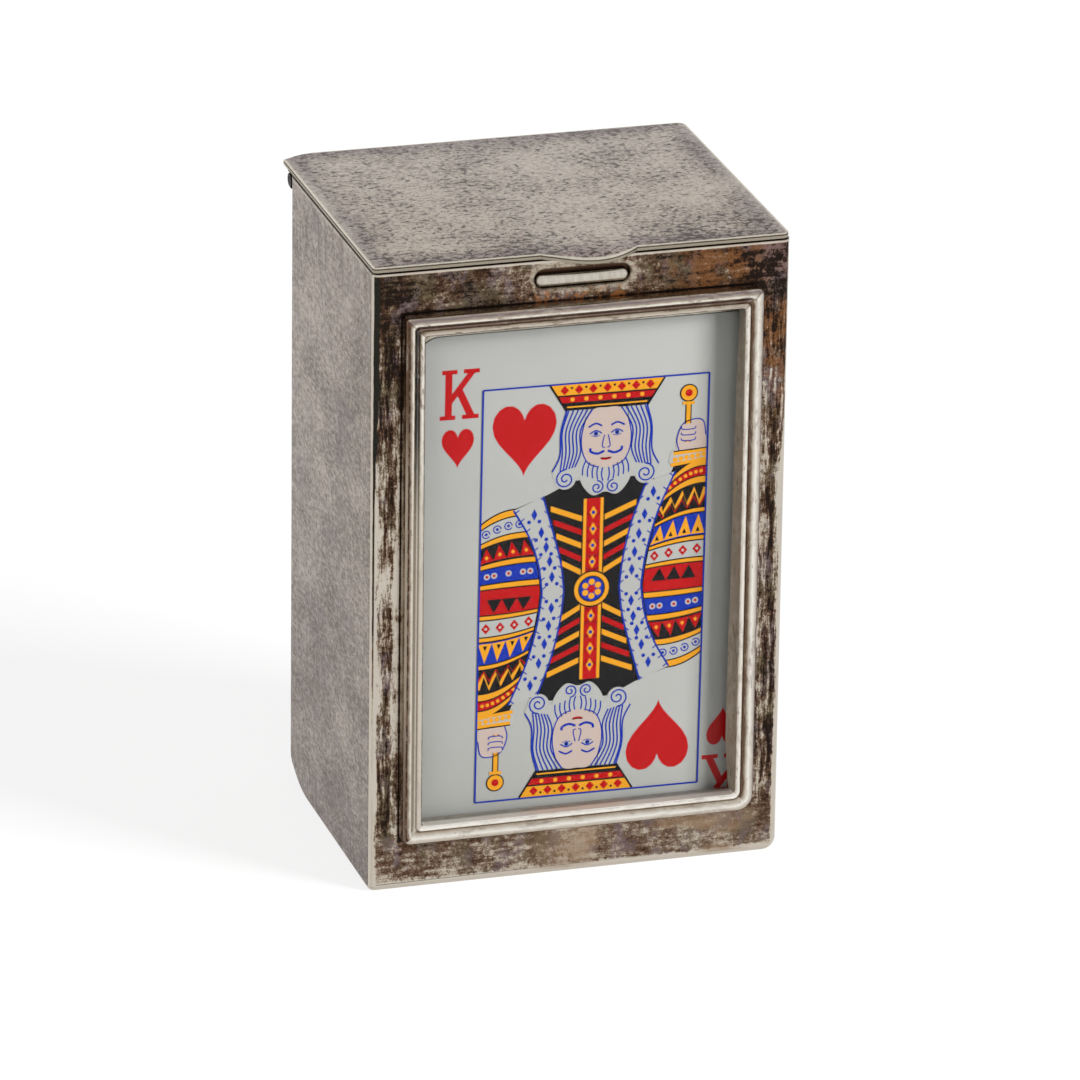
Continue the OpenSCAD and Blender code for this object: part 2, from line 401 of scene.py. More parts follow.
def levelAlong(tree, value, levels):
    # a value that follows (place, level) pairs
    low, high = levels[0][0], levels[-1][0]
    share = sums(tree, "DIVIDE", minus(tree, value, low), high - low)
    tones = [((place - low) / (high - low), (level,) * 3) for place, level in levels]
    return toneRamp(tree, share, tones)


def addUp(tree, first, *others):
    # first plus each (value, weight), a value counted from its middle of 0.5
    total = first
    for value, weight in others:
        total = scaled(tree, minus(tree, value, 0.5), weight, total)
    return total


def scratches(tree, run, rise, angle, across, along, keep):
    # thin long scratches, at an angle from upright, on walls rolled out flat
    rolled = tree.nodes.new("ShaderNodeCombineXYZ")
    feed(tree, run, rolled.inputs[0])
    feed(tree, rise, rolled.inputs[1])
    turn = tree.nodes.new("ShaderNodeMapping")
    turn.inputs["Rotation"].default_value = (0, 0, math.radians(angle))
    tree.links.new(rolled.outputs[0], turn.inputs["Vector"])
    noise = grain(tree, turn.outputs[0], 1, 2, 0.5, (across, along, 1), shift=3.1)
    return fade(tree, noise, keep, keep + 0.05)


def finishSilver(tree, shader, colour, tarnish, finish):
    # polished metal is smoother than dull metal
    feed(tree, colour, shader.inputs["Base Color"])
    shader.inputs["Metallic"].default_value = 1.0
    feed(tree, fade(tree, tarnish, 0.15, 0.75, *finish["rough"]), shader.inputs["Roughness"])


# The silver's tones, from polished to black, also used for painted highlights and shade
silverTones = {
    "bright": (0.82, 0.785, 0.72),
    "cream": (0.54, 0.49, 0.42),
    "shade": (0.42, 0.4, 0.36),
    "beige": (0.4, 0.34, 0.265),
    "rust": (0.36, 0.14, 0.045),
    "tan": (0.3, 0.2, 0.125),
    "gold": (0.21, 0.088, 0.032),
    "violet": (0.2, 0.155, 0.165),
    "blueGrey": (0.17, 0.19, 0.2),
    "brown": (0.17, 0.112, 0.076),
    "olive": (0.13, 0.105, 0.06),
    "redBrown": (0.085, 0.045, 0.027),
    "green": (0.026, 0.031, 0.026),
    "black": (0.02, 0.013, 0.01),
}

# In each finish, places are in millimetres, and a layer is (tone, strength)
wallFinish = {
    "tones": ((0.25, (0.412, 0.352, 0.3)), (0.5, (0.275, 0.231, 0.198)), (0.82, (0.14, 0.114, 0.098))),
    "rough": (0.33, 0.48),
    "stretch": (0.6, 0.38, 1),
    "levels": ((0, 0.67), (14, 0.57), (60, 0.48), (104, 0.45)),  # darker and duller towards the bottom
    "elsewhere": (0.42, 0.45),  # dullness off the left wall, and how much it counts
    "upperHues": (  # tone, strength, features per mm, shift, where the noise starts and ends
        ((0.34, 0.26, 0.225), 0.5, 0.16, 21, 0.48, 0.62),
        ((0.26, 0.265, 0.27), 0.45, 0.2, 37, 0.54, 0.66),
    ),
    "stain": ("violet", 0.3),
    "edge": ((0.5, 0.45, 0.37), 0.7),
    "smudge": ((0.13, 0.1, 0.095), 0.4),
    "pits": ("redBrown", 0.5),
    "foot": ("cream", 0.85),
    # painted shade in the gap under the lid
    "gap": ("black", 1),
    "scratch": (0.5, 0.445, 0.385),
    "scratches": (  # angle, change across and along, where they start, strength
        (66, 3.2, 0.05, 0.64, 0.5),
        (-58, 3.4, 0.06, 0.645, 0.45),
        (34, 3.6, 0.06, 0.63, 0.5),
        (4, 3.0, 0.045, 0.6, 0.62),
    ),
}


def wallSilver():
    material, tree, shader = startMaterial("wallSilver")
    place = millimetres(tree)
    x, y, z = axesOf(tree, place)
    flat = vectorSum(tree, "MULTIPLY", place, wallFinish["stretch"])
    speckle = grain(tree, flat, 1.9, 5, 0.72)
    fine = grain(tree, flat, 3.4, 3, 0.6, (1, 1.2, 0.4), shift=11)
    cloud = grain(tree, flat, 0.16, 4, 0.55, (1, 1, 0.7), shift=5)
    level = levelAlong(tree, z, wallFinish["levels"])
    tone = addUp(tree, level, (speckle, 1.6), (fine, 0.5), (cloud, 0.75))
    # the rear and the right side are less worn
    calm, share = wallFinish["elsewhere"]
    tone = between(tree, fade(tree, x, -32, -22, 0, share), tone, calm)
    colour = toneRamp(tree, tone, wallFinish["tones"])
    upper = times(tree, fade(tree, z, 72, 100), fade(tree, y, 8, -24))
    for hue, strength, scale, shift, low, high in wallFinish["upperHues"]:
        patch = fade(tree, grain(tree, place, scale, 2, shift=shift), low, high)
        colour = laidOver(tree, colour, (hue, strength), upper, patch)
    stain = fade(tree, grain(tree, flat, 0.25, 3, 0.6, shift=83), 0.5, 0.64)
    colour = laidOver(tree, colour, wallFinish["stain"], stain)
    # worn bright along the front, with a painted highlight on the rounded edge there and along the rim
    wobble = times(tree, grain(tree, place, 0.3, 3, shift=2), 1.2)
    frontEdge = fade(tree, plus(tree, y, wobble), frontAt + 1.9, frontAt + 0.5, 0, 0.25)
    wornAndHighlit = most(tree, frontEdge, fade(tree, z, rimAt - 0.7, rimAt - 0.35))
    colour = laidOver(tree, colour, wallFinish["edge"], wornAndHighlit)
    patches = grain(tree, flat, 0.16, 2, shift=44)
    for angle, across, along, keep, strength in wallFinish["scratches"]:
        lines = scratches(tree, plus(tree, x, y), z, angle, across, along, keep)
        share = fade(tree, patches, 0.4, 0.62, 0.25 * strength, strength)
        colour = blend(tree, times(tree, lines, share), colour, wallFinish["scratch"])
    smudge = fade(tree, grain(tree, place, 0.35, 3, 0.6, (1, 1, 0.35), shift=52), 0.52, 0.66)
    colour = laidOver(tree, colour, wallFinish["smudge"], smudge, fade(tree, z, 84, 98))
    pits = fade(tree, grain(tree, flat, 1.1, 2, 0.5, shift=9), 0.68, 0.73)
    colour = laidOver(tree, colour, wallFinish["pits"], pits)
    # the foot is rubbed bright in front, and painted shade makes the gap under the lid black
    foot = fade(tree, z, baseTop / mm + 0.2, baseTop / mm)
    front = fade(tree, y, frontAt + 2.2, frontAt + 0.8)
    colour = laidOver(tree, colour, wallFinish["foot"], foot, front)
    toSide = minus(tree, sideAt, awayFrom(tree, x))
    outside = fade(tree, least(tree, toSide, minus(tree, backAt, y)), 0.22, 0.12)
    gap = fade(tree, z, rimAt - 0.12, rimAt - 0.06)
    colour = laidOver(tree, colour, wallFinish["gap"], gap, outside)
    finishSilver(tree, shader, colour, tone, wallFinish)
    dent(tree, shader, plus(tree, speckle, grain(tree, place, 0.12, 2, shift=8)), 0.25, 0.06)
    return material


lidFinish = {
    "tones": ((0.25, (0.475, 0.415, 0.352)), (0.5, (0.345, 0.294, 0.253)), (0.8, (0.2, 0.162, 0.145))),
    "rough": (0.34, 0.5),
    "stain": ((0.235, 0.195, 0.21), 0.36),
    "blush": ((0.42, 0.33, 0.305), 0.4),
    "pits": ((0.06, 0.044, 0.038), 0.88),
    "pitStretch": (0.75, 1, 1),
    # painted highlight on the top edge
    "edge": ((0.7, 0.66, 0.55), 0.8),
    "side": ((0.34, 0.3, 0.235), 1),
    "groove": ("redBrown", 0.8),
    # painted shade in the gap below
    "gap": ("black", 1),
    "underside": ("beige", 1),
}


def lipFront(tree, x):
    # how far the lip reaches out at x, as lipShare gives it
    place = sums(tree, "DIVIDE", minus(tree, x, lidShape["lipMiddle"] / mm), lidShape["lipHalf"] / mm)
    inside = most(tree, minus(tree, 1.0, times(tree, place, place)), 0.0)
    rounded = sums(tree, "POWER", inside, lidShape["lipPower"])
    skewed = scaled(tree, place, lidShape["lipSkew"], 1.0)
    return times(tree, rounded, skewed, lidShape["lipReach"] / mm / (1 + lidShape["lipSkew"] / 4))


def lidSilver():
    material, tree, shader = startMaterial("lidSilver")
    place = millimetres(tree)
    x, y, z = axesOf(tree, place)
    # the height as if the lip were not bent down
    bent = most(tree, minus(tree, frontAt, y), 0.0)
    drop = lidShape["lipDrop"] / mm / (lidShape["lipReach"] / mm) ** 2
    z = scaled(tree, times(tree, bent, bent), drop, z)
    speckle = grain(tree, place, 1.3, 5, 0.7)
    cloud = grain(tree, place, 0.08, 4, 0.6, shift=14)
    toSide = least(tree, minus(tree, x, lidLow.x / mm), minus(tree, lidHigh.x / mm, x))
    toFront = plus(tree, minus(tree, y, frontAt), lipFront(tree, x))
    toRear = minus(tree, lidHigh.y / mm, y)
    toEdge = least(tree, toSide, least(tree, toFront, toRear))
    rim = fade(tree, toEdge, 9, 0.5)
    polished = fade(tree, toSide, 2.2, 0.6)
    middle = scaled(tree, polished, -0.16, scaled(tree, rim, 0.2, 0.38))
    tone = addUp(tree, middle, (speckle, 1.5), (cloud, 0.6))
    colour = toneRamp(tree, tone, lidFinish["tones"])
    stain = fade(tree, addUp(tree, rim, (cloud, 1.3)), 0.5, 1.05)
    colour = laidOver(tree, colour, lidFinish["stain"], stain)
    blush = fade(tree, awayFrom(tree, x), 20, 6)
    colour = laidOver(tree, colour, lidFinish["blush"], fade(tree, toFront, 7, 0), blush)
    # the pits crowd towards the edges, except where the sides are polished
    crowd = addUp(tree, scaled(tree, rim, 0.04, -0.012), (cloud, 0.3))
    crowd = scaled(tree, polished, -0.08, crowd)
    crowd = scaled(tree, fade(tree, toFront, 14, 1), 0.035, crowd)
    large = grain(tree, place, 1.05, 3, 0.5, lidFinish["pitStretch"], shift=6)
    small = grain(tree, place, 2.4, 2, 0.5, lidFinish["pitStretch"], shift=16)
    large = fade(tree, plus(tree, large, crowd), 0.575, 0.615)
    pits = most(tree, large, fade(tree, plus(tree, small, crowd), 0.59, 0.64, 0, 0.7))
    colour = laidOver(tree, colour, lidFinish["pits"], pits)
    # a painted highlight on the top edge, a pale side with a dark groove, and painted shade in the gap
    # below
    top = fade(tree, z, lidTopAt - 0.12, lidTopAt - 0.06)
    colour = laidOver(tree, colour, lidFinish["edge"], fade(tree, toEdge, 0.55, 0.15), top)
    side = fade(tree, z, lidTopAt - 0.1, lidTopAt - 0.16)
    colour = laidOver(tree, colour, lidFinish["side"], side)
    groove = fade(tree, awayFrom(tree, z, lidTopAt - 0.24), 0.12, 0.06)
    colour = laidOver(tree, colour, lidFinish["groove"], groove)
    gap = times(tree, fade(tree, z, rimAt + 0.12, rimAt + 0.06), fade(tree, toEdge, 0.3, 0.15))
    colour = laidOver(tree, colour, lidFinish["gap"], gap, fade(tree, toFront, -0.1, 0))
    below = fade(tree, z, rimAt + 0.04, rimAt + 0.01)
    colour = laidOver(tree, colour, lidFinish["underside"], below, fade(tree, toEdge, 0.4, 0.9))
    finishSilver(tree, shader, colour, tone, lidFinish)
    height = minus(tree, grain(tree, place, 0.1, 2, shift=8), times(tree, pits, 0.6))
    dent(tree, shader, height, 0.35, 0.07)
    return material


frontFinish = {
    "tones": ((0.2, "cream"), (0.38, "beige"), (0.5, "brown"), (0.63, "redBrown"), (0.82, "black")),
    "rough": (0.27, 0.5),
    # tarnish from 0, polished, to 1, black, along the strips round the moulding
    "top": (
        (-33.6, 0.82), (-30, 0.76), (-20, 0.66), (-13, 0.65), (-10, 0.62), (0, 0.6),
        (9, 0.62), (13, 0.67), (20, 0.72), (33.6, 0.76),
    ),
    "bottom": ((-33.6, 0.53), (-20, 0.51), (0, 0.45), (18, 0.5), (33.6, 0.58)),
    "left": ((0, 0.53), (18, 0.52), (40, 0.38), (62, 0.4), (78, 0.62), (90, 0.8), (103.1, 0.82)),
    "right": ((0, 0.62), (18, 0.65), (45, 0.53), (62, 0.49), (76, 0.56), (90, 0.7), (103.1, 0.76)),
    # added to the tarnish across the left and the right strip, below its upper part
    "leftAcross": (
        (-33.6, 0.4), (-32.1, 0.45), (-31.5, 0.66), (-30.4, 0.62),
        (-29.9, 0.36), (-29.3, 0.36), (-28.9, 0.7),
    ),
    "rightAcross": (
        (28.9, 0.62), (29.4, 0.4), (30.1, 0.42), (30.8, 0.62),
        (31.8, 0.6), (32.4, 0.45), (33.6, 0.4),
    ),
    "edgeWidth": 1.35,
    "haloWidth": 2.3,
    "tints": (("violet", 61), ("olive", 73)),  # tone and shift
    "tintStrength": 0.5,
    "gold": ("gold", 0.75),
    "tan": ("tan", 0.75),
    "corner": ("violet", 0.6),
    "rust": ("rust", 0.7),
    # the tone of the painted dark reflection beside the left edge
    "darkReflectionLine": ("green", 1),
}


def stripTones(tree, x, z):
    left, right = (levelAlong(tree, z, frontFinish[name]) for name in ("left", "right"))
    top, bottom = (levelAlong(tree, x, frontFinish[name]) for name in ("top", "bottom"))
    side = between(tree, fade(tree, x, -0.5, 0.5), left, right)
    isTop = fade(tree, z, frameHigh.z / mm - 1.5, frameHigh.z / mm + 1)
    isBottom = fade(tree, z, frameLow.z / mm + 1.5, frameLow.z / mm - 0.5)
    return between(tree, isBottom, between(tree, isTop, side, top), bottom)


def slotGap(tree, x, z):
    # distance from the slot's edge
    radius = caseShape["slotHeight"] / 2 / mm
    straight = caseShape["slotLength"] / 2 / mm - radius
    along = most(tree, minus(tree, awayFrom(tree, x), straight), 0)
    up = minus(tree, z, lidTopAt - caseShape["slotBelowLid"] / mm)
    squared = plus(tree, times(tree, along, along), times(tree, up, up))
    return minus(tree, sums(tree, "SQRT", squared), radius)


def frameGap(tree, x, z):
    # distance outside the moulding's outline
    middle = (frameLow.z + frameHigh.z) / 2 / mm
    sideways = minus(tree, awayFrom(tree, x), frameHigh.x / mm)
    return most(tree, sideways, minus(tree, awayFrom(tree, z, middle), frameHigh.z / mm - middle))


def frontSilver():
    material, tree, shader = startMaterial("frontSilver")
    place = millimetres(tree)
    x, z = axesOf(tree, place, "XZ")
    cloud = grain(tree, place, 0.2, 4, 0.6)
    speckle = grain(tree, place, 1.5, 6, 0.75, shift=4)
    fine = grain(tree, place, 3.5, 3, 0.7, shift=12)
    streaks = grain(tree, place, 1.2, 6, 0.72, (1, 1, 0.12), shift=7)
    runs = grain(tree, place, 1.3, 5, 0.7, (0.2, 1, 1), shift=27)
    # the wear runs upright beside the window and level above and below it
    lowSide = fade(tree, z, frameHigh.z / mm + 1, frameHigh.z / mm - 6)
    aside = times(tree, lowSide, fade(tree, z, 7, 13))
    tarnish = addUp(tree, stripTones(tree, x, z), (cloud, 0.9), (speckle, 1.1), (fine, 0.55))
    tarnish = addUp(tree, tarnish, (streaks, times(tree, aside, 2.6)), (runs, minus(tree, 1.0, aside)))
    across = between(
        tree,
        fade(tree, x, -0.5, 0.5),
        levelAlong(tree, x, frontFinish["leftAcross"]),
        levelAlong(tree, x, frontFinish["rightAcross"]),
    )
    tarnish = addUp(tree, tarnish, (across, times(tree, fade(tree, z, 84, 66), fade(tree, z, 3, 12))))
    calm = times(tree, fade(tree, z, 9.5, 7.5), fade(tree, x, -15, 10, 0.15, 0.3))
    tarnish = between(tree, calm, tarnish, 0.44)
    # rubbed clean round the slot, and along the outer edges worn bright with a painted highlight on their
    # rounding
    halo = addUp(tree, slotGap(tree, x, z), (speckle, 3.5), (cloud, 3))
    tarnish = between(tree, fade(tree, halo, frontFinish["haloWidth"], 0.3, 0, 0.55), tarnish, 0.24)
    toSide = minus(tree, sideAt, awayFrom(tree, x))
    upper = fade(tree, z, 64, 82)
    toEdge = least(tree, scaled(tree, upper, 1.6, toSide), minus(tree, z, 0.4))
    wornAndHighlit = addUp(tree, toEdge, (streaks, 1.6), (speckle, 0.8))
    tarnish = between(tree, fade(tree, wornAndHighlit, frontFinish["edgeWidth"], 0.9, 0, 0.85), tarnish, 0.16)
    # a painted highlight on the very edge and along the rim, with a painted dark reflection beside the
    # edge on the left
    lineEnd = between(tree, upper, 0.6, addUp(tree, 1.15, (streaks, 1.8)))
    darkReflectionLine = times(
        tree,
        fade(tree, minus(tree, toSide, lineEnd), 0.1, -0.1),
        fade(tree, x, -25, -26),
        fade(tree, addUp(tree, z, (streaks, 40)), 24, 50, 0.12, 1),
    )
    broken = times(tree, darkReflectionLine, fade(tree, speckle, 0.3, 0.5, 0.75, 1))
    tarnish = between(tree, broken, tarnish, 0.88)
    sideHighlight = fade(tree, addUp(tree, toSide, (streaks, 0.3)), 0.44, 0.3)
    shine = most(tree, sideHighlight, fade(tree, z, rimAt - 0.7, rimAt - 0.45, 0, 0.85))
    tarnish = between(tree, times(tree, shine, 0.95), tarnish, 0.12)
    # painted shade: the gap under the lid is black along the top of the plate
    tarnish = between(tree, fade(tree, z, rimAt - 0.26, rimAt - 0.14), tarnish, 1.0)
    # dirt and a painted contact shadow against the moulding, and clean metal under it
    gap = frameGap(tree, x, z)
    dirtAndShadow = fade(tree, minus(tree, gap, fade(tree, z, 94, 97, 0.0, 0.1)), 0.22, 0.06, 0, 0.85)
    tarnish = between(tree, dirtAndShadow, tarnish, 0.95)
    tarnish = between(tree, fade(tree, gap, -2, -2.5), tarnish, 0.1)
    colour = toneRamp(tree, tarnish, frontFinish["tones"])
    # tints where the metal is neither clean nor black
    middling = times(tree, fade(tree, tarnish, 0.34, 0.46), fade(tree, tarnish, 0.85, 0.65))
    for tone, shift in frontFinish["tints"]:
        tint = fade(tree, grain(tree, place, 0.3, 3, 0.6, (1, 1, 0.6), shift=shift), 0.5, 0.62)
        colour = laidOver(tree, colour, (tone, frontFinish["tintStrength"]), tint, middling)
    golden = times(tree, fade(tree, x, 10, 19), fade(tree, z, 70, 84), middling)
    patch = fade(tree, grain(tree, place, 0.22, 2, shift=31), 0.4, 0.52)
    colour = laidOver(tree, colour, frontFinish["gold"], golden, patch)
    lowRight = times(tree, fade(tree, z, 9, 6), fade(tree, x, -12, 4))
    patch = fade(tree, grain(tree, place, 0.13, 3, 0.5, (0.6, 1, 1), shift=91), 0.42, 0.56)
    colour = laidOver(tree, colour, frontFinish["tan"], lowRight, patch)
    corner = times(tree, fade(tree, x, 27, 31), fade(tree, z, 92, 99))
    colour = laidOver(tree, colour, frontFinish["corner"], corner, middling)
    underSlot = times(tree, fade(tree, z, 98.4, 97.6), fade(tree, z, 95.8, 96.6))
    patch = fade(tree, grain(tree, place, 0.9, 3, shift=18), 0.5, 0.6)
    centred = fade(tree, awayFrom(tree, x), 12, 5)
    colour = laidOver(tree, colour, frontFinish["rust"], underSlot, centred, patch)
    # the painted dark reflection beside the edge is tinted green
    greenish = times(tree, fade(tree, tarnish, 0.5, 0.7), fade(tree, fine, 0.36, 0.56, 0.95, 0.35))
    colour = laidOver(tree, colour, frontFinish["darkReflectionLine"], darkReflectionLine, greenish)
    finishSilver(tree, shader, colour, tarnish, frontFinish)
    height = minus(tree, grain(tree, place, 0.1, 2, shift=8), times(tree, tarnish, 0.3))
    dent(tree, shader, height, 0.25, 0.06)
    return material


# The moulding's tones across its section, from the inner foot (0) to the outer flank (1): tarnish in the
# hollows, with painted highlights on the crests and bead, and painted shade and dark reflections in the
# groove and at the feet
railFinish = {
    "left": (
        (0.0, "black"), (0.03, "brown"), (0.1, "cream"), (0.17, "bright"), (0.26, "beige"),
        (0.34, "black"), (0.42, "blueGrey"), (0.54, "beige"), (0.62, "bright"), (0.7, "beige"),
        (0.78, "brown"), (0.88, "redBrown"), (0.97, "brown"),
    ),
    "right": (
        (0.0, "beige"), (0.05, "cream"), (0.17, "bright"), (0.24, "cream"), (0.33, "brown"),
        (0.42, "redBrown"), (0.5, "beige"), (0.64, "bright"), (0.8, "cream"),
        (0.93, "violet"), (1.0, "redBrown"),
    ),
    "top": (
        (0.0, "black"), (0.04, "brown"), (0.12, "cream"), (0.24, "beige"), (0.34, "brown"),
        (0.44, "violet"), (0.54, "beige"), (0.63, "bright"), (0.72, "beige"),
        (0.85, "violet"), (0.96, "beige"),
    ),
    "bottom": (
        (0.0, "shade"), (0.03, "shade"), (0.09, "bright"), (0.22, "bright"), (0.34, "brown"),
        (0.42, "beige"), (0.62, "bright"), (0.75, "cream"), (0.92, "beige"), (1.0, "redBrown"),
    ),
    "spots": {"left": 0.6, "right": 0.5, "top": 0.6, "bottom": 0.3},
    "rough": (0.2, 0.42),
    "innerRough": 0.7,
}


def leftRailWear(tree, place, out, z, colour, wobble, patch):
    # lower down the groove is worn bright, with a broken black line on the outer flank and painted shade
    # along the window's edge
    worn = fade(tree, out, 2.2, 1.9)
    colour = laidOver(tree, colour, ("cream", 0.85), fade(tree, z, 82, 58), worn)
    flank = times(tree, fade(tree, out, 2.62, 2.8), fade(tree, z, 16, 38, 0.15, 1))
    colour = laidOver(tree, colour, ("beige", 0.7), fade(tree, z, 84, 68), flank)
    broken = grain(tree, place, 2.2, 3, 0.6, (1, 1, 0.45), shift=33)
    dots = fade(tree, addUp(tree, broken, (patch, 0.4)), 0.42, 0.52)
    line = fade(tree, awayFrom(tree, addUp(tree, out, (wobble, 0.3)), 2.62), 0.16, 0.06, 0, 0.8)
    line = most(tree, line, fade(tree, out, 0.2, 0.1))
    return laidOver(tree, colour, ("black", 1), dots, line)


def railSilver(side):
    material, tree, shader = startMaterial("railSilver" + side.capitalize())
    place = millimetres(tree)
    (z,) = axesOf(tree, place, "Z")
    section = tree.nodes.new("ShaderNodeAttribute")
    section.attribute_name = "sectionPlace"
    out, height, mitre = axesOf(tree, section.outputs["Vector"])
    wobble = grain(tree, place, 0.5, 3, shift=2)
    across = sums(tree, "DIVIDE", addUp(tree, out, (wobble, 0.35)), railWidth / mm)
    colour = toneRamp(tree, across, railFinish[side])
    # brown mottling in runs along the rail, and black at the outer foot, dirt with a painted contact
    # shadow
    spots = railFinish["spots"][side]
    along = (0.25, 1, 1) if side in ("top", "bottom") else (1, 1, 0.25)
    mottle = grain(tree, place, 1.6, 5, 0.7, along, shift=5)
    patch = grain(tree, place, 0.12, 2, shift=15)
    tarnish = fade(tree, addUp(tree, mottle, (patch, 0.5)), 0.5, 0.72)
    colour = laidOver(tree, colour, ("brown", spots), tarnish)
    bright = fade(tree, addUp(tree, mottle, (patch, -0.4)), 0.46, 0.3)
    colour = laidOver(tree, colour, ("cream", 0.35), bright)
    flecks = fade(tree, grain(tree, place, 1.1, 4, 0.7, along, shift=45), 0.6, 0.66)
    colour = laidOver(tree, colour, ("redBrown", spots), flecks)
    if side == "left":
        colour = leftRailWear(tree, place, out, z, colour, wobble, patch)
    if side == "bottom":
        # the upper part of the flank at the window's foot gets a painted highlight, like a shining roll
        roll = times(tree, fade(tree, height, 0.4, 1.1), fade(tree, out, 0.25, 0.1))
        colour = laidOver(tree, colour, ("bright", 1), roll)
    # dirt and painted contact shadow at the outer foot
    foot = times(tree, fade(tree, height, 0.32, 0.12), fade(tree, out, 3.0, 3.15))
    colour = laidOver(tree, colour, ("black", 1), foot)
    joint = times(tree, fade(tree, awayFrom(tree, mitre), 0.14, 0.03), fade(tree, z, 60, 80))
    colour = laidOver(tree, colour, ("redBrown", 0.5), joint)
    finishSilver(tree, shader, colour, tarnish, railFinish)
    # the inner flank is dull, so that it takes the light and no picture of the card
    roughness = shader.inputs["Roughness"]
    smooth = roughness.links[0].from_socket
    feed(tree, between(tree, fade(tree, out, 0.1, 0.02), smooth, railFinish["innerRough"]), roughness)
    dent(tree, shader, plus(tree, mottle, grain(tree, place, 0.2, 2)), 0.2, 0.05)
    return material


innerFinish = {
    "tones": ((0.15, "cream"), (0.4, "beige"), (0.65, "redBrown")),
    "rough": (0.3, 0.45),
}


def innerSilver():
    material, tree, shader = startMaterial("innerSilver")
    place = millimetres(tree)
    x, y, z = axesOf(tree, place)
    cloud = grain(tree, place, 0.15, 5, 0.6)
    speckle = grain(tree, place, 1.4, 4, 0.6, shift=3)
    tarnish = addUp(tree, 0.3, (cloud, 0.8), (speckle, 0.4))
    # painted shade: the rim's face is dark where it shows in the slot
    face = fade(tree, y, frontAt + 3, frontAt + 2)
    shadeInSlot = times(tree, face, fade(tree, slotGap(tree, x, z), 0.9, 0.1))
    tarnish = between(tree, shadeInSlot, tarnish, 0.66)
    colour = toneRamp(tree, tarnish, innerFinish["tones"])
    finishSilver(tree, shader, colour, tarnish, innerFinish)
    dent(tree, shader, speckle, 0.15, 0.05)
    return material


hingeFinish = {
    "tones": ((0.2, "beige"), (0.45, "brown"), (0.7, "redBrown"), (0.95, "black")),
    "rough": (0.32, 0.5),
    "worn": (129.5, 130.2),  # height and depth added up, over the outer side of the barrel
    "ends": (32.6, 33.1),  # the ends of the barrel are black from here
}


def hingeSilver():
    material, tree, shader = startMaterial("hingeSilver")
    place = millimetres(tree)
    x, y, z = axesOf(tree, place)
    cloud = grain(tree, place, 0.4, 5, 0.6)
    speckle = grain(tree, place, 2.2, 4, 0.65, (0.4, 1, 1), shift=3)
    worn = fade(tree, plus(tree, y, z), *hingeFinish["worn"])
    tarnish = addUp(tree, scaled(tree, worn, -0.2, 0.62), (cloud, 1.0), (speckle, 0.6))
    ends = fade(tree, awayFrom(tree, x), *hingeFinish["ends"])
    tarnish = between(tree, ends, tarnish, 0.95)
    colour = toneRamp(tree, tarnish, hingeFinish["tones"])
    finishSilver(tree, shader, colour, tarnish, hingeFinish)
    dent(tree, shader, speckle, 0.25, 0.05)
    return material


catchFinish = {
    "tones": ((0.15, (0.54, 0.5, 0.44)), (0.3, (0.42, 0.375, 0.31)), (0.5, "violet"), (0.75, "brown")),
    "rough": (0.24, 0.4),
    "upper": (-3.75, -3.42),  # the upper side gets painted shade from here, counted from the lid's top
}


def catchSilver():
    material, tree, shader = startMaterial("catchSilver")
    place = millimetres(tree)
    (z,) = axesOf(tree, place, "Z")
    streaks = grain(tree, place, 2.6, 4, 0.65, (1, 1, 0.2))
    # painted shade on the catch's upper side
    upper = fade(tree, z, *(lidTopAt + below for below in catchFinish["upper"]))
    tarnish = addUp(tree, scaled(tree, upper, 0.3, 0.2), (streaks, 0.5))
    colour = toneRamp(tree, tarnish, catchFinish["tones"])
    finishSilver(tree, shader, colour, tarnish, catchFinish)
    dent(tree, shader, streaks, 0.2, 0.04)
    return material


cardFinish = {
    "paper": ((0.365, 0.361, 0.345), (0.38, 0.376, 0.36)),
    "specks": ((0.3, 0.29, 0.27), 0.35),
    "rough": (0.42, 0.52),
    "shine": 0.12,
}


def cardPaper():
    material, tree, shader = startMaterial("cardPaper")
    place = millimetres(tree)
    fibre = grain(tree, place, 2.5, 5, 0.6)
    cloud = grain(tree, place, 0.06, 3, 0.5, shift=9)
    colour = blend(tree, fade(tree, cloud, 0.35, 0.65), *cardFinish["paper"])
    specks = fade(tree, grain(tree, place, 1.6, 2, 0.4, shift=28), 0.74, 0.78)
    colour = laidOver(tree, colour, cardFinish["specks"], specks)
    feed(tree, colour, shader.inputs["Base Color"])
    feed(tree, fade(tree, fibre, 0.3, 0.7, *cardFinish["rough"]), shader.inputs["Roughness"])
    shader.inputs["Specular IOR Level"].default_value = cardFinish["shine"]
    dent(tree, shader, fibre, 0.08, 0.02)
    return material


# The case: walls, front plate and base share one rounded outline
caseShape = {
    "wall": 0.8 * mm,
    "rearRadius": 3.0 * mm,
    "footRadius": 2.2 * mm,
    "footLeft": 1.15 * mm,
    "footRight": 2.2 * mm,
    "footRear": 2.9 * mm,
    "footRearRise": 5.0 * mm,
    "footTurn": 0.4,  # how far round to the rear the foot has its rear shape
    "wornFoot": 12.5 * mm,  # on the left that shape starts this far from the rear
    "frontRadius": 1.25 * mm,
    "topCorner": 0.7 * mm,  # of the front plate, seen from the front
    "rimRadius": 0.42 * mm,
    "wallRim": 0.15 * mm,
    "slotLength": 15.4 * mm,
    "slotHeight": 3.0 * mm,
    "slotBelowLid": 4.2 * mm,
    "slotEdge": 0.55 * mm,
    "wornCuts": 8,
    "rearSteps": 14,
    "footSteps": 8,
    "frontSteps": 8,
    "cornerSteps": 5,
    "slotSteps": 5,
    "rimSteps": 4,
    "wallRimSteps": 3,
    "slotSides": 48,
}


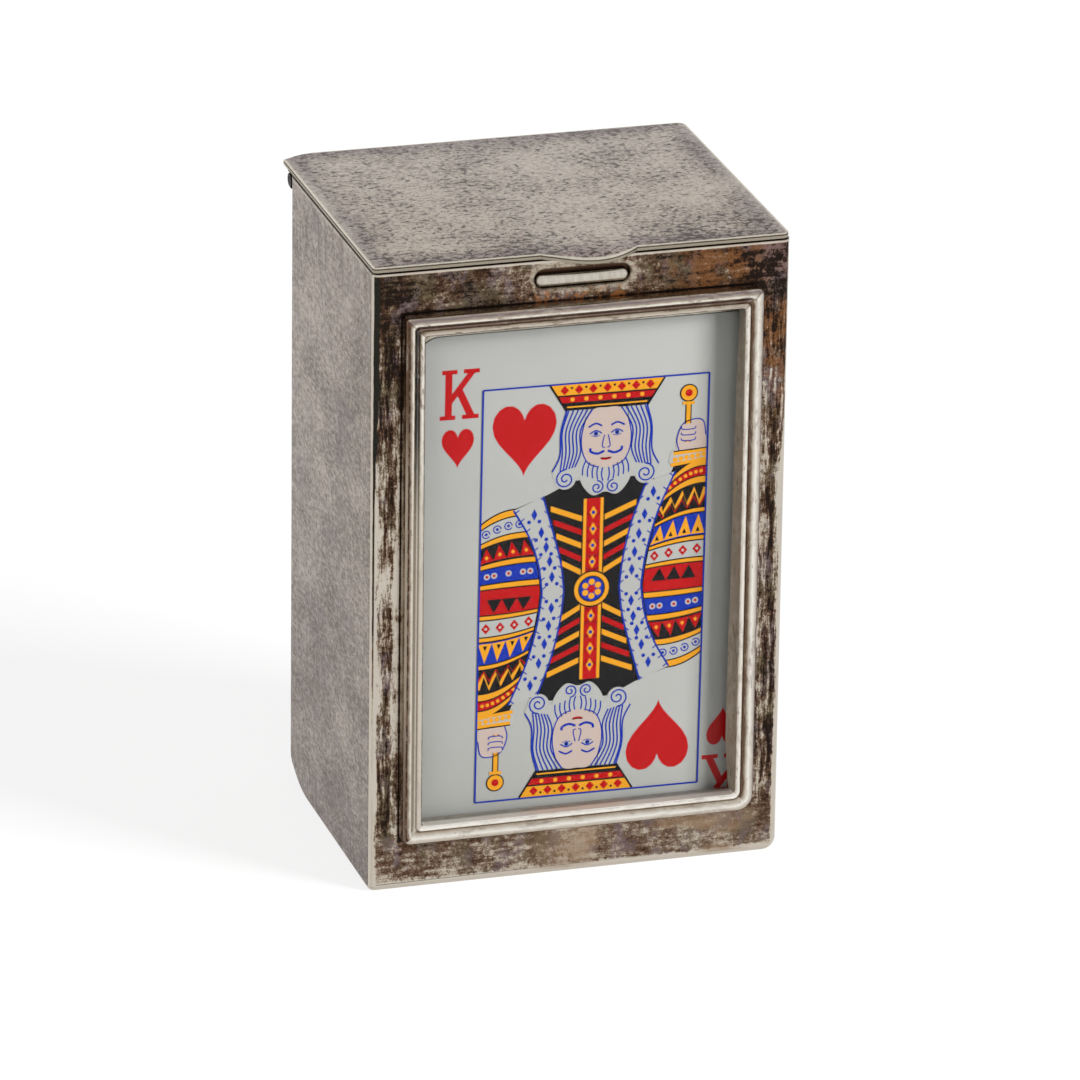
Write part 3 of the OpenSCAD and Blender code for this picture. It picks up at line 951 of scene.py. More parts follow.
def turnFoot():
    # gives the rounded foot its own radius on the left, right and rear
    data = bpy.context.object.data
    even = caseShape["footRadius"]
    rear = caseShape["rearRadius"]
    inX = halfWidth - rear
    inY = backY - rear
    wornFrom = backY - caseShape["wornFoot"]
    for step in range(caseShape["wornCuts"]):
        scoreAt((0, wornFrom + (inY - wornFrom) * step / caseShape["wornCuts"], 0), (0, 1, 0))
    for vert in bmesh.from_edit_mesh(data).verts:
        spot = vert.co
        if spot.z > even + 0.01 * mm:
            continue
        way = Vector((spot.x - max(-inX, min(inX, spot.x)), max(0, spot.y - inY), 0))
        if way.length < 0.001 * mm or way.length < rear - even - 0.01 * mm:
            continue
        depth = rear - way.length
        way.normalize()
        side = caseShape["footLeft"] if way.x < 0 else caseShape["footRight"]
        toRear = min(1, way.y / caseShape["footTurn"])
        if way.x < 0:
            worn = min(1, max(0, (spot.y - wornFrom) / (inY - wornFrom)))
            toRear = max(toRear, worn**2)
        radius = side + (caseShape["footRear"] - side) * toRear
        rise = side + (caseShape["footRearRise"] - side) * toRear
        share = radius / even
        spot.x -= way.x * depth * (share - 1)
        spot.y -= way.y * depth * (share - 1)
        spot.z *= rise / even
    bmesh.update_edit_mesh(data)


def caseBlank(name):
    # the outside of the case as a closed block with all its edges rounded
    low = Vector((-halfWidth, frontY, 0))
    high = Vector((halfWidth, backY, rimZ))
    piece = addBlock(name, low, high)
    openEdit(piece)
    roundEdges(
        caseShape["rearRadius"],
        caseShape["rearSteps"],
        lambda e: runsAlong(e, 2) and near(edgeMiddle(e).y, backY),
    )
    roundEdges(
        caseShape["footRadius"],
        caseShape["footSteps"],
        lambda e: isLevelWith(e, 2, 0) and not isLevelWith(e, 1, frontY),
    )
    turnFoot()
    roundEdges(
        caseShape["frontRadius"],
        caseShape["frontSteps"],
        lambda e: isLevelWith(e, 1, frontY) and not isLevelWith(e, 2, rimZ),
    )
    return piece


def roundRim(radius, segments, behind):
    # the upper edge of a wall or plate, but not where two pieces meet
    roundEdges(radius, segments, lambda e: isLevelWith(e, 2, rimZ) and not isLevelWith(e, 1, behind))


def shapeWalls():
    piece = caseBlank("caseWalls")
    pick("FACE", lambda f: near(f.calc_center_median().z, rimZ))
    bpy.ops.mesh.delete(type="FACE")
    cutAway((0, plateHigh.y, 0), (0, -1, 0), fill=False)
    cutAway((0, 0, baseTop), (0, 0, -1), fill=False)
    closeEdit()
    modify(piece, "SOLIDIFY", thickness=caseShape["wall"], offset=-1, use_even_offset=True)
    openEdit(piece)
    roundRim(caseShape["wallRim"], caseShape["wallRimSteps"], plateHigh.y)
    closeEdit()
    smoothOver(piece)
    finishPiece(piece, "case", "silver_walls", ["wall_wrap"], silverWalls)


def shapeBase():
    piece = caseBlank("caseBase")
    cutAway((0, 0, baseTop), (0, 0, 1))
    closeEdit()
    smoothOver(piece)
    finishPiece(piece, "case", "silver_walls", ["base_plate"], silverWalls)


def shapeFront():
    piece = caseBlank("frontPlate")
    roundEdges(
        caseShape["topCorner"],
        caseShape["cornerSteps"],
        lambda e: runsAlong(e, 1) and isLevelWith(e, 2, rimZ),
    )
    cutAway((0, plateHigh.y, 0), (0, 1, 0))
    cutAway((0, 0, baseTop), (0, 0, -1))
    closeEdit()
    through = Vector((0, 1 * mm, 0))
    opening = addBlock("opening", windowLow - through, windowHigh + 2 * through)
    slot = addBar("slotCutter", caseShape["slotLength"], caseShape["slotHeight"], slotZ)
    for cutter in (opening, slot):
        modify(piece, "BOOLEAN", object=cutter, operation="DIFFERENCE", solver="EXACT")
        bpy.data.objects.remove(cutter)
    openEdit(piece)
    acrossSlot = caseShape["slotLength"] / 2 + 0.1 * mm
    upSlot = caseShape["slotHeight"] / 2 + 0.1 * mm
    roundEdges(
        caseShape["slotEdge"],
        caseShape["slotSteps"],
        lambda e: isLevelWith(e, 1, frontY)
        and abs(edgeMiddle(e).x) < acrossSlot
        and abs(edgeMiddle(e).z - slotZ) < upSlot,
    )
    roundRim(caseShape["rimRadius"], caseShape["rimSteps"], plateHigh.y)
    closeEdit()
    smoothOver(piece)
    finishPiece(piece, "case", "silver_front", ["front_plate"], silverFront)


def addBar(name, length, height, z):
    # an oblong bar with round ends that lies along X, right through the front plate
    dropAll()
    bpy.ops.mesh.primitive_cylinder_add(
        vertices=caseShape["slotSides"],
        radius=height / 2,
        depth=plateHigh.y - plateLow.y + 2 * mm,
        location=(0, (plateLow.y + plateHigh.y) / 2, z),
        rotation=(math.pi / 2, 0, 0),
    )
    piece = bpy.context.object
    piece.name = name
    bpy.ops.object.transform_apply(location=True, rotation=True, scale=True)
    openEdit(piece)
    scoreAt((0, 0, 0), (1, 0, 0))
    stretch = (length - height) / 2
    for side in (-1, 1):
        pick("VERT", lambda v: v.co.x * side > 0.001 * mm)
        bpy.ops.transform.translate(value=(side * stretch, 0, 0))
    closeEdit()
    return piece


silverWalls = wallSilver()
silverFront = frontSilver()
silverRails = {side: railSilver(side) for side in ("left", "right", "top", "bottom")}
silverInside = innerSilver()
silverHinge = hingeSilver()
silverCatch = catchSilver()
paper = cardPaper()
print("materials: nine finishes of silver and the card")

slotZ = lidHigh.z - caseShape["slotBelowLid"]
shapeWalls()
shapeBase()
shapeFront()
print("case: walls, base and front plate")


# The moulding: one section, swept along each side and round half of each corner
railShape = {
    "edge": 1.85 * mm,
    "crest": 2.65 * mm,
    "crestAt": 1.12 * mm,  # inwards from the outer edge
    "grooveAt": 2.02 * mm,
    "groove": 2.02 * mm,
    "beadRadius": 0.5 * mm,
    "beadTop": 2.55 * mm,
    "beadArc": 168,
    "innerCorner": 0.7 * mm,
    # how far the right rail's inner flank slopes in over the glass, at its foot and its top
    "slopeLow": 1.1 * mm,
    "slopeHigh": 0.35 * mm,
    "slopeEnd": 1.6 * mm,
    # how fast each corner's radius grows outwards, from the lower left one anticlockwise
    "cornerGrowth": (0.2, 0.6, 0.12, 0.0),
    "flankSteps": 6,
    "hollowSteps": 10,
    "beadSteps": 12,
    "cornerSteps": 6,
    "runSteps": 10,
}


def railSection():
    # points (out of the window, height above the plate), from the outer foot to the inner one
    edge, crest, groove = (railShape[k] for k in ("edge", "crest", "groove"))
    crestAt, grooveAt = railShape["crestAt"], railShape["grooveAt"]
    beadRadius = railShape["beadRadius"]
    points = [(0, 0), (0, edge * 0.5), (0.03 * mm, edge * 0.85)]
    for i in range(railShape["flankSteps"] + 1):
        turn = math.pi / 2 * i / railShape["flankSteps"]
        outwards = 0.1 * mm + (crestAt - 0.1 * mm) * (1 - math.cos(turn))
        points.append((outwards, edge + (crest - edge) * math.sin(turn)))
    for i in range(1, railShape["hollowSteps"] + 1):
        share = i / railShape["hollowSteps"]
        sink = (1 - math.cos(math.pi * share)) / 2
        points.append((crestAt + (grooveAt - crestAt) * share, crest - (crest - groove) * sink))
    beadAt = railWidth - beadRadius
    beadMiddle = railShape["beadTop"] - beadRadius
    for i in range(railShape["beadSteps"] + 1):
        angle = math.radians(railShape["beadArc"] * (1 - i / railShape["beadSteps"]))
        points.append((beadAt + beadRadius * math.cos(angle), beadMiddle + beadRadius * math.sin(angle)))
    points += [(railWidth, railShape["beadTop"] * 0.4), (railWidth, 0)]
    return [(railWidth - u, height) for u, height in points]


def railPath(out, halfRun, halfAcross, growths):
    # points (along, across) at a distance out of the window, from corner to corner
    steps = railShape["cornerSteps"]
    ends = []
    for growth in growths:
        radius = railShape["innerCorner"] + growth * out
        centre = (halfRun + out - radius, halfAcross + out - radius)
        turns = [math.radians(45 * i / steps) for i in range(steps + 1)]
        ends.append([(centre[0] + radius * math.sin(a), centre[1] + radius * math.cos(a)) for a in turns])
    first = [(-a, b) for a, b in reversed(ends[0])]
    last = ends[1]
    start, level = first[-1][0], last[0][1]
    step = (last[0][0] - start) / railShape["runSteps"]
    straight = [(start + step * i, level) for i in range(1, railShape["runSteps"])]
    return first + straight + last


def flankSlope(along, halfRun, height):
    # how far the inner bead's flank leans over the glass, upright at both corners
    beadMiddle = railShape["beadTop"] - railShape["beadRadius"]
    share = (along + halfRun) / (2 * halfRun)
    slope = railShape["slopeLow"] + (railShape["slopeHigh"] - railShape["slopeLow"]) * share
    fromCorner = min(1, max(0, (halfRun - abs(along)) / railShape["slopeEnd"]))
    return slope * max(0, 1 - height / beadMiddle) * fromCorner


def shapeRail(name, node, turn):
    halfW = (windowHigh.x - windowLow.x) / 2
    halfH = (windowHigh.z - windowLow.z) / 2
    middle = (windowLow.z + windowHigh.z) / 2
    halfRun, halfAcross = (halfW, halfH) if turn % 180 == 0 else (halfH, halfW)
    corner = turn // 90
    growths = [railShape["cornerGrowth"][(corner + i) % 4] for i in (0, 1)]
    section = railSection()
    rows = section + [section[0]]
    paths = [railPath(out, halfRun, halfAcross, growths) for out, height in rows]
    columns = len(paths[0])
    dropAll()
    bpy.ops.mesh.primitive_grid_add(x_subdivisions=columns - 1, y_subdivisions=len(rows) - 1, size=1)
    piece = bpy.context.object
    piece.name = name
    c, s = math.cos(math.radians(turn)), math.sin(math.radians(turn))
    place = piece.data.attributes.new("sectionPlace", "FLOAT_VECTOR", "POINT")
    for row, (out, height) in enumerate(rows):
        for column, (a, b) in enumerate(paths[row]):
            index = row * columns + column
            if node == "moulding_right" and out < 0.001 * mm:
                b -= flankSlope(a, halfRun, height)
            # turn 0 is the bottom rail, whose outside points down
            piece.data.vertices[index].co = (a * c + b * s, frontY - height, middle + a * s - b * c)
            toMitre = min(a - paths[row][0][0], paths[row][-1][0] - a)
            place.data[index].vector = (out / mm, height / mm, toMitre / mm)
    openEdit(piece)
    bpy.ops.mesh.select_all(action="SELECT")
    bpy.ops.mesh.remove_doubles(threshold=0.001 * mm)
    bpy.ops.mesh.select_mode(type="EDGE")
    bpy.ops.mesh.select_all(action="DESELECT")
    bpy.ops.mesh.select_non_manifold()
    bpy.ops.mesh.fill_holes(sides=0)
    bpy.ops.mesh.select_all(action="SELECT")
    bpy.ops.mesh.normals_make_consistent(inside=False)
    closeEdit()
    smoothOver(piece, 50)
    finishPiece(piece, "case", "silver_moulding", [node], silverRails[node.split("_")[1]])


for name, node, turn in (
    ("railBottom", "moulding_bottom", 0),
    ("railRight", "moulding_right", 90),
    ("railTop", "moulding_top", 180),
    ("railLeft", "moulding_left", 270),
):
    shapeRail(name, node, turn)
print("moulding: four rails")


# The lid: a plate with a grooved edge and a thumb lip that curves down in front
lidShape = {
    "rearRadius": 1.5 * mm,
    "frontLeft": 0.7 * mm,  # the radii of the front corners
    "frontRight": 1.3 * mm,
    "wornAcross": 3.9 * mm,  # the rear left corner is worn away along X
    "wornBack": 2.2 * mm,
    "topRound": 0.1 * mm,
    "underRound": 0.09 * mm,
    "grooveTop": 0.16 * mm,  # below the top of the plate
    "grooveFoot": 0.32 * mm,
    "grooveDepth": 0.12 * mm,
    "lipMiddle": 0.9 * mm,
    "lipHalf": 7.75 * mm,
    "lipReach": 2.3 * mm,
    "lipDrop": 0.8 * mm,
    "lipSkew": 0.2,
    "lipPower": 0.8,
    "lipColumns": 26,
    "lipSteps": 7,
    "wornRound": 0.45,  # radius at the ends of the worn corner, as a share of its length
    "rearSteps": 10,
    "frontSteps": 6,
    "wornSteps": 8,
    "topSteps": 4,
    "underSteps": 2,
}


def lipShare(x):
    # how far the lip reaches out at x, from 0 to 1
    place = min(1, max(-1, (x - lidShape["lipMiddle"]) / lidShape["lipHalf"]))
    skewed = (1 + lidShape["lipSkew"] * place) / (1 + lidShape["lipSkew"] / 4)
    return (1 - place**2) ** lidShape["lipPower"] * skewed


def plateLevel(spot):
    # the height of a place on the lid plate as if the lip were not bent down
    reach = max(0, frontY - spot.y) / lidShape["lipReach"]
    return spot.z + lidShape["lipDrop"] * reach**2


def growLip():
    half, middle = lidShape["lipHalf"], lidShape["lipMiddle"]
    for i in range(lidShape["lipColumns"] + 1):
        turn = math.pi * i / lidShape["lipColumns"]
        scoreAt((middle - half * math.cos(turn), 0, 0), (1, 0, 0))
    pick("FACE", lambda f: f.normal.y < -0.99 and abs(f.calc_center_median().x - middle) < half)
    for step in range(1, lidShape["lipSteps"] + 1):
        bpy.ops.mesh.extrude_region_move(TRANSFORM_OT_translate={"value": (0, -0.01 * mm, 0)})
        data = bpy.context.object.data
        for vert in bmesh.from_edit_mesh(data).verts:
            if vert.select:
                level = plateLevel(vert.co)
                reach = lipShare(vert.co.x) * step / lidShape["lipSteps"]
                vert.co.y = frontY - lidShape["lipReach"] * reach
                vert.co.z = level - lidShape["lipDrop"] * reach**2
        bmesh.update_edit_mesh(data)
    bpy.ops.mesh.select_all(action="SELECT")
    bpy.ops.mesh.remove_doubles(threshold=0.002 * mm)


def isPlateSide(face):
    return abs(face.normal.z) < 0.8


def roundPlateEdge(level, radius, segments):
    roundEdges(
        radius,
        segments,
        lambda e: all(near(plateLevel(v.co), level, 0.03 * mm) for v in e.verts)
        and len({isPlateSide(f) for f in e.link_faces}) == 2,
    )


def shapeLid():
    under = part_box("lid_rim")[1].z
    piece = addBlock("lidPlate", Vector((lidLow.x, frontY, under)), lidHigh)
    openEdit(piece)
    roundEdges(
        lidShape["rearRadius"],
        lidShape["rearSteps"],
        lambda e: runsAlong(e, 2) and edgeMiddle(e).y > 0 and edgeMiddle(e).x > 0,
    )
    for side, key in ((-1, "frontLeft"), (1, "frontRight")):
        roundEdges(
            lidShape[key],
            lidShape["frontSteps"],
            lambda e: runsAlong(e, 2) and near(edgeMiddle(e).y, frontY) and edgeMiddle(e).x * side > 0,
        )
    across, back = lidShape["wornAcross"], lidShape["wornBack"]
    cutAway((lidLow.x, lidHigh.y - back, 0), (-back, across, 0))
    roundEdges(
        lidShape["wornRound"] * math.hypot(across, back),
        lidShape["wornSteps"],
        lambda e: runsAlong(e, 2) and near(edgeMiddle(e).x, lidLow.x + across),
    )
    for key in ("grooveTop", "grooveFoot"):
        scoreAt((0, 0, lidHigh.z - lidShape[key]), (0, 0, 1))
    growLip()
    roundPlateEdge(lidHigh.z, lidShape["topRound"], lidShape["topSteps"])
    roundPlateEdge(under, lidShape["underRound"], lidShape["underSteps"])
    grooveZ = lidHigh.z - (lidShape["grooveTop"] + lidShape["grooveFoot"]) / 2
    pick("FACE", lambda f: isPlateSide(f) and near(plateLevel(f.calc_center_median()), grooveZ, 0.03 * mm))
    inwards = {"value": -lidShape["grooveDepth"]}
    bpy.ops.mesh.extrude_region_shrink_fatten(TRANSFORM_OT_shrink_fatten=inwards)
    closeEdit()
    smoothOver(piece)
    finishPiece(piece, "lid", "silver_lid", ["lid_plate"], silverLid)


# The catch: a domed bar that is pressed out of the rim and stands in the slot
catchShape = {
    "length": 15.0 * mm,
    "height": 2.15 * mm,
    "belowSlot": 0.31 * mm,  # its middle, below the middle of the slot
    "behindFront": 0.12 * mm,
    "endShare": 0.48,  # the radii, as shares of the height
    "domeShare": 0.36,
    "endSteps": 10,
    "domeSteps": 6,
}


def shapeCatch():
    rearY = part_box("catch_bead")[1].y
    frontMost = frontY + catchShape["behindFront"]
    middle = slotZ - catchShape["belowSlot"]
    high = catchShape["height"]
    low = Vector((-catchShape["length"] / 2, frontMost, middle - high / 2))
    piece = addBlock("catchBead", low, Vector((-low.x, rearY, middle + high / 2)))
    openEdit(piece)
    endRadius, domeRadius = high * catchShape["endShare"], high * catchShape["domeShare"]
    roundEdges(endRadius, catchShape["endSteps"], lambda e: runsAlong(e, 1))
    roundEdges(domeRadius, catchShape["domeSteps"], lambda e: isLevelWith(e, 1, frontMost), clamped=True)
    closeEdit()
    smoothOver(piece, 60)
    finishPiece(piece, "lid", "silver_moulding", ["catch_bead"], silverCatch)


silverLid = lidSilver()
shapeLid()
shapeCatch()
print("lid: plate with its lip, and the catch")

# Pieces that keep the CAD's shape, with their edges broken
for node, name, width, body, slot, material in (
    ("lid_rim", "lidRim", 0.12, "lid", "silver_inside", silverInside),
    ("lid_strip", "lidStrip", 0.12, "lid", "silver_hinge", silverHinge),
    ("lid_knuckle_left", "lidKnuckleLeft", 0.1, "lid", "silver_hinge", silverHinge),
    ("lid_knuckle_right", "lidKnuckleRight", 0.1, "lid", "silver_hinge", silverHinge),
    ("back_strip", "backStrip", 0.15, "case", "silver_hinge", silverHinge),
    ("case_knuckle_left", "caseKnuckleLeft", 0.1, "case", "silver_hinge", silverHinge),
    ("case_knuckle_middle", "caseKnuckleMiddle", 0.1, "case", "silver_hinge", silverHinge),
    ("case_knuckle_right", "caseKnuckleRight", 0.1, "case", "silver_hinge", silverHinge),
    ("hinge_pin", "hingePin", 0.1, "case", "silver_hinge", silverHinge),
    ("window_channel_left", "channelLeft", 0.08, "case", "silver_inside", silverInside),
    ("window_channel_right", "channelRight", 0.08, "case", "silver_inside", silverInside),
    ("window_ledge", "windowLedge", 0.08, "case", "silver_inside", silverInside),
    ("backing_plate", "backingPlate", 0.08, "case", "silver_inside", silverInside),
    ("display_card", "showCard", 0.05, "case", "card", paper),
):
    finishPiece(easedCopy(node, name, width), body, slot, [node], material)
print("hinge, rim and window pocket")


# The print on the card: flat layers of ink, a half figure drawn once and turned for the other half
inkColours = {
    "red": (0.385, 0.0025, 0.0035),
    "blue": (0.005, 0.024, 0.29),
    "yellow": (0.66, 0.28, 0.012),
    "black": (0.004, 0.0035, 0.004),
    "skin": (0.45, 0.355, 0.315),
    "white": (0.373, 0.369, 0.353),
}

# In millimetres on the card, counted from its middle
cardPrint = {
    "frameHalf": (18.6, 35.05),
    "share": 0.985,
    "turn": 0.55,
    "shift": (-0.25, 0.4),
    "firstLayer": 0.012,  # the ink's height above the card, then a step for each layer
    "layerStep": 0.009,
    "inkThickness": 0.007,
    "curveSteps": 6,
    "curlSteps": 14,
    "heartSteps": 16,
    "bandSteps": 8,
}

inkShapes = {ink: [] for ink in inkColours}


def curvePoint(a, b, c, d, t):
    # between b and c, on a smooth curve through all four
    square = (2 * a - 5 * b + 4 * c - d) * t**2
    cube = (3 * b - a - 3 * c + d) * t**3
    return 0.5 * (2 * b + (c - a) * t + square + cube)


def smoothPath(points, closed=False):
    # a rounded line through the points
    count = len(points)
    path = []
    for i in range(count if closed else count - 1):
        if closed:
            four = [points[(i + k) % count] for k in (-1, 0, 1, 2)]
        else:
            four = [points[min(max(i + k, 0), count - 1)] for k in (-1, 0, 1, 2)]
        for step in range(cardPrint["curveSteps"]):
            share = step / cardPrint["curveSteps"]
            path.append(tuple(curvePoint(*places, share) for places in zip(*four)))
    return path if closed else path + [tuple(points[-1])]


def area(points):
    return sum(a[0] * b[1] - b[0] * a[1] for a, b in zip(points, points[1:] + points[:1])) / 2


def inkFill(ink, layer, points, twice=True):
    if area(points) < 0:
        points = points[::-1]
    inkShapes[ink].append((layer, points))
    if twice:
        inkShapes[ink].append((layer, [(-u, -v) for u, v in points]))


def inkStroke(ink, layer, path, width, twice=True):
    # straight lines of even width from point to point, with mitred joins
    sides = []
    for i, (u, v) in enumerate(path):
        before = Vector(path[max(i - 1, 0)])
        after = Vector(path[min(i + 1, len(path) - 1)])
        way = (after - before).normalized() * width / 2
        sides.append(((u - way.y, v + way.x), (u + way.y, v - way.x)))
    for (a, b), (c, d) in zip(sides[:-1], sides[1:]):
        inkFill(ink, layer, [a, b, d, c], twice)


def inkCurve(ink, layer, points, width):
    inkStroke(ink, layer, smoothPath(points), width)


def ring(centre, radius, count=20):
    turns = [math.radians(360 * i / count) for i in range(count)]
    return [(centre[0] + radius * math.cos(a), centre[1] + radius * math.sin(a)) for a in turns]


def disc(ink, layer, centre, radius, twice=True):
    inkFill(ink, layer, ring(centre, radius), twice)


def curl(ink, layer, centre, radius, turns, width):
    # a spiral that starts at the top and winds in to its centre
    count = max(6, int(cardPrint["curlSteps"] * abs(turns)))
    path = []
    for i in range(count + 1):
        angle = math.radians(90 + 360 * turns * i / count)
        reach = radius * (1 - 0.85 * i / count)
        path.append((centre[0] + reach * math.cos(angle), centre[1] + reach * math.sin(angle)))
    inkStroke(ink, layer, path, width)


def lozenge(ink, layer, centre, halfWide, halfHigh):
    u, v = centre
    inkFill(ink, layer, [(u - halfWide, v), (u, v - halfHigh), (u + halfWide, v), (u, v + halfHigh)])


def heart(ink, layer, centre, wide, high):
    half = []
    for i in range(cardPrint["heartSteps"] + 1):
        t = math.pi * i / cardPrint["heartSteps"]
        lobe = 13 * math.cos(t) - 5 * math.cos(2 * t) - 2 * math.cos(3 * t) - math.cos(4 * t)
        half.append((16 * math.sin(t) ** 3, lobe))
    outline = half + [(-u, v) for u, v in half[-2:0:-1]]
    low, top = -17.0, max(v for u, v in outline)
    foot = centre[1] - high / 2
    laid = [(centre[0] + u / 16 * wide / 2, foot + (v - low) / (top - low) * high) for u, v in outline]
    inkFill(ink, layer, laid)


indexShape = {
    "corner": (-25.74, 30.56),
    "stretch": 1.085,
    "slabs": (  # left, low, right and high, in a box 6 by 8.3
        (0.35, 7.6, 2.65, 8.3),
        (3.6, 7.6, 6.0, 8.3),
        (0.1, 0, 2.45, 0.7),
        (3.45, 0, 5.95, 0.7),
        (0.85, 0.7, 1.9, 7.6),
    ),
    "arm": ((1.9, 2.7), (5.3, 7.6), (4.2, 7.6), (1.9, 4.3)),
    "leg": ((2.7, 4.0), (4.1, 0.7), (5.3, 0.7), (3.45, 5.0)),
    "hearts": (((-22.6, 25.6), 5.3, 6.55), ((-11.7, 26.05), 10.55, 12.0)),
}


def boxPoints(left, low, right, high):
    return [(left, low), (right, low), (right, high), (left, high)]


def drawIndex():
    # the index letter with its slab serifs, and the two hearts
    left, foot = indexShape["corner"]
    slabs = [boxPoints(*slab) for slab in indexShape["slabs"]]
    for part in (*slabs, indexShape["arm"], indexShape["leg"]):
        inkFill("red", 1, [(left + indexShape["stretch"] * u, foot + v) for u, v in part])
    for centre, wide, high in indexShape["hearts"]:
        heart("red", 1, centre, wide, high)


# Each sleeve's bands, from the middle of the card outwards: ink and upper edge, as a share
robeShape = {
    "body": (
        (-18.55, 0), (18.55, 0), (18.55, 20.6), (13.2, 19.9), (12.2, 17.4), (9, 17.6),
        (6.5, 18.6), (-3.5, 18.6), (-7.6, 16.6), (-9.5, 15.6), (-18.55, 12.6),
    ),
    "leftBands": (
        ("red", 0.1), ("yellow", 0.17), ("blue", 0.37), ("yellow", 0.44),
        ("black", 0.66), ("yellow", 0.73), ("white", 0.92), ("yellow", 1.0),
    ),
    "rightBands": (
        ("red", 0.15), ("yellow", 0.19), ("white", 0.33), ("yellow", 0.37), ("blue", 0.56),
        ("yellow", 0.6), ("black", 0.8), ("yellow", 0.86), ("red", 0.94), ("yellow", 1.0),
    ),
}


def drawSleeve(side, bands, lean, innerHeight, outerHeight, bow):
    # bands between two edges, each bowed upwards the more the higher it is
    def across(share):
        start = Vector((side * (8.6 + 3.6 * share**lean), innerHeight * share))
        end = Vector((side * 18.55, outerHeight * share))
        steps = cardPrint["bandSteps"]
        line = []
        for i in range(steps + 1):
            spot = start + (end - start) * i / steps
            line.append((spot.x, spot.y + bow * 4 * i / steps * (1 - i / steps) * share))
        return line

    low = 0.0
    for ink, high in bands:
        inkFill(ink, 2, across(low) + across(high)[::-1])
        inkStroke("black", 4, across(high), 0.22)
        low = high
    return across


def drawLeftSleeve():
    across = drawSleeve(-1, robeShape["leftBands"], 1.6, 14.6, 12.4, 0.7)
    for step in (1, 2, 4, 6, 7):
        disc("white", 3, across(0.27)[step], 0.52)
        disc("red", 4, across(0.27)[step], 0.24)
    for i in range(4):
        left, right = across(0.46)[2 * i], across(0.46)[2 * i + 2]
        tip = across(0.64)[2 * i + 1]
        inkFill("red", 3, [left, right, tip])
        middle = ((left[0] + right[0] + tip[0]) / 3, (left[1] + right[1] + tip[1]) / 3)
        lozenge("yellow", 4, middle, 0.34, 0.4)
    for spot in across(0.825)[1::2]:
        inkStroke("blue", 3, ring(spot, 0.62, count=12), 0.2)
        disc("blue", 3, spot, 0.26)


def drawRightSleeve():
    across = drawSleeve(1, robeShape["rightBands"], 1.4, 17.0, 20.6, 1.0)
    for spot in across(0.26)[1::2]:
        lozenge("red", 3, spot, 0.75, 0.9)
        disc("white", 4, spot, 0.24)
    foot, tips = across(0.385), across(0.545)
    for i in range(4):
        u, v = foot[2 * i + 1]
        inkFill("yellow", 3, [foot[2 * i], foot[2 * i + 2], tips[2 * i + 1]])
        inkFill("black", 4, [(u - 0.35, v + 0.35), (u + 0.35, v + 0.35), (u, v + 1.2)])
    for ink, even, odd, width in (("yellow", 0.76, 0.64, 0.75), ("red", 0.7, 0.615, 0.35)):
        wave = [across(odd if i % 2 else even)[i] for i in range(cardPrint["bandSteps"] + 1)]
        inkStroke(ink, 3, wave, width)
    for spot in across(0.9)[1:-1]:
        disc("yellow", 4, spot, 0.3)
    foot, tips = across(0.02), across(0.135)
    for i in range(3):
        inkFill("black", 3, [foot[2 * i + 1], foot[2 * i + 3], tips[2 * i + 2]])


def drawRobe():
    inkFill("black", 1, robeShape["body"])
    drawLeftSleeve()
    drawRightSleeve()


def drawFront():
    # the panel down the middle, between the collar's bands
    for i in range(5):
        foot = 1.4 + 2.35 * i
        for side in (-1, 1):
            outer = side * (4.7 + 0.22 * foot)
            arm = [(0, foot), (outer, foot + 2.9), (outer, foot + 3.85), (0, foot + 0.95)]
            inkFill(("yellow", "red")[i % 2], 2, arm)
            inkStroke("black", 3, [(0, foot + 1.6), (outer, foot + 4.5)], 0.2)
    inkFill("red", 3, boxPoints(-1.25, 0, 1.25, 15.4))
    for side in (-1, 1):
        inkStroke("yellow", 4, [(side * 1.4, 2.6), (side * 1.4, 15.4)], 0.5)
        inkStroke("black", 4, [(side * 1.78, 2.6), (side * 1.78, 15.4)], 0.2)
    for i in range(4):
        lozenge("yellow", 4, (0, 4.6 + 2.8 * i), 0.62, 1.1)
        disc("blue", 5, (0, 4.6 + 2.8 * i), 0.3)
    # the rosette in the middle of the card
    rings = (("black", 3.15), ("yellow", 2.9), ("black", 2.25), ("blue", 2.05))
    for layer, (ink, radius) in enumerate(rings, start=5):
        disc(ink, layer, (0, 0), radius, twice=False)
    for i in range(6):
        angle = math.radians(60 * i + 30)
        disc("yellow", 9, (1.2 * math.cos(angle), 1.2 * math.sin(angle)), 0.52, twice=False)
    disc("red", 10, (0, 0), 0.62, twice=False)


collarShape = {
    "left": (
        ((-8.2, 0), (-8.9, 4.8), (-10.6, 9.8), (-13.2, 14.4)),
        ((-4.6, 0), (-5.2, 4.8), (-6.5, 9.8), (-8.4, 16.4)),
    ),
    "right": (
        ((4.6, 0), (5.1, 5), (6.4, 11), (8.6, 17.4)),
        ((8.2, 0), (8.9, 5.4), (10.6, 12), (13.4, 18.8)),
    ),
}


def drawCollar():
    for edges in collarShape.values():
        outer, inner = (smoothPath(edge) for edge in edges)
        inkFill("white", 6, outer + inner[::-1])
        for edge, side in ((outer, 1), (inner, -1)):
            inkStroke("blue", 7, edge, 0.3)
            for u, v in edge[1::2]:
                inkStroke("blue", 7, [(u, v), (u + 0.62 * side, v + 0.5)], 0.2)
        for i in range(1, 6):
            step = round(i / 6 * (len(outer) - 1))
            u = (outer[step][0] + inner[step][0]) / 2
            v = (outer[step][1] + inner[step][1]) / 2
            lozenge("blue", 7, (u, v + 0.5), 0.5, 1.0)
            for side in (-1, 1):
                disc("blue", 7, (u + side * 0.85, v - 0.7), 0.32)


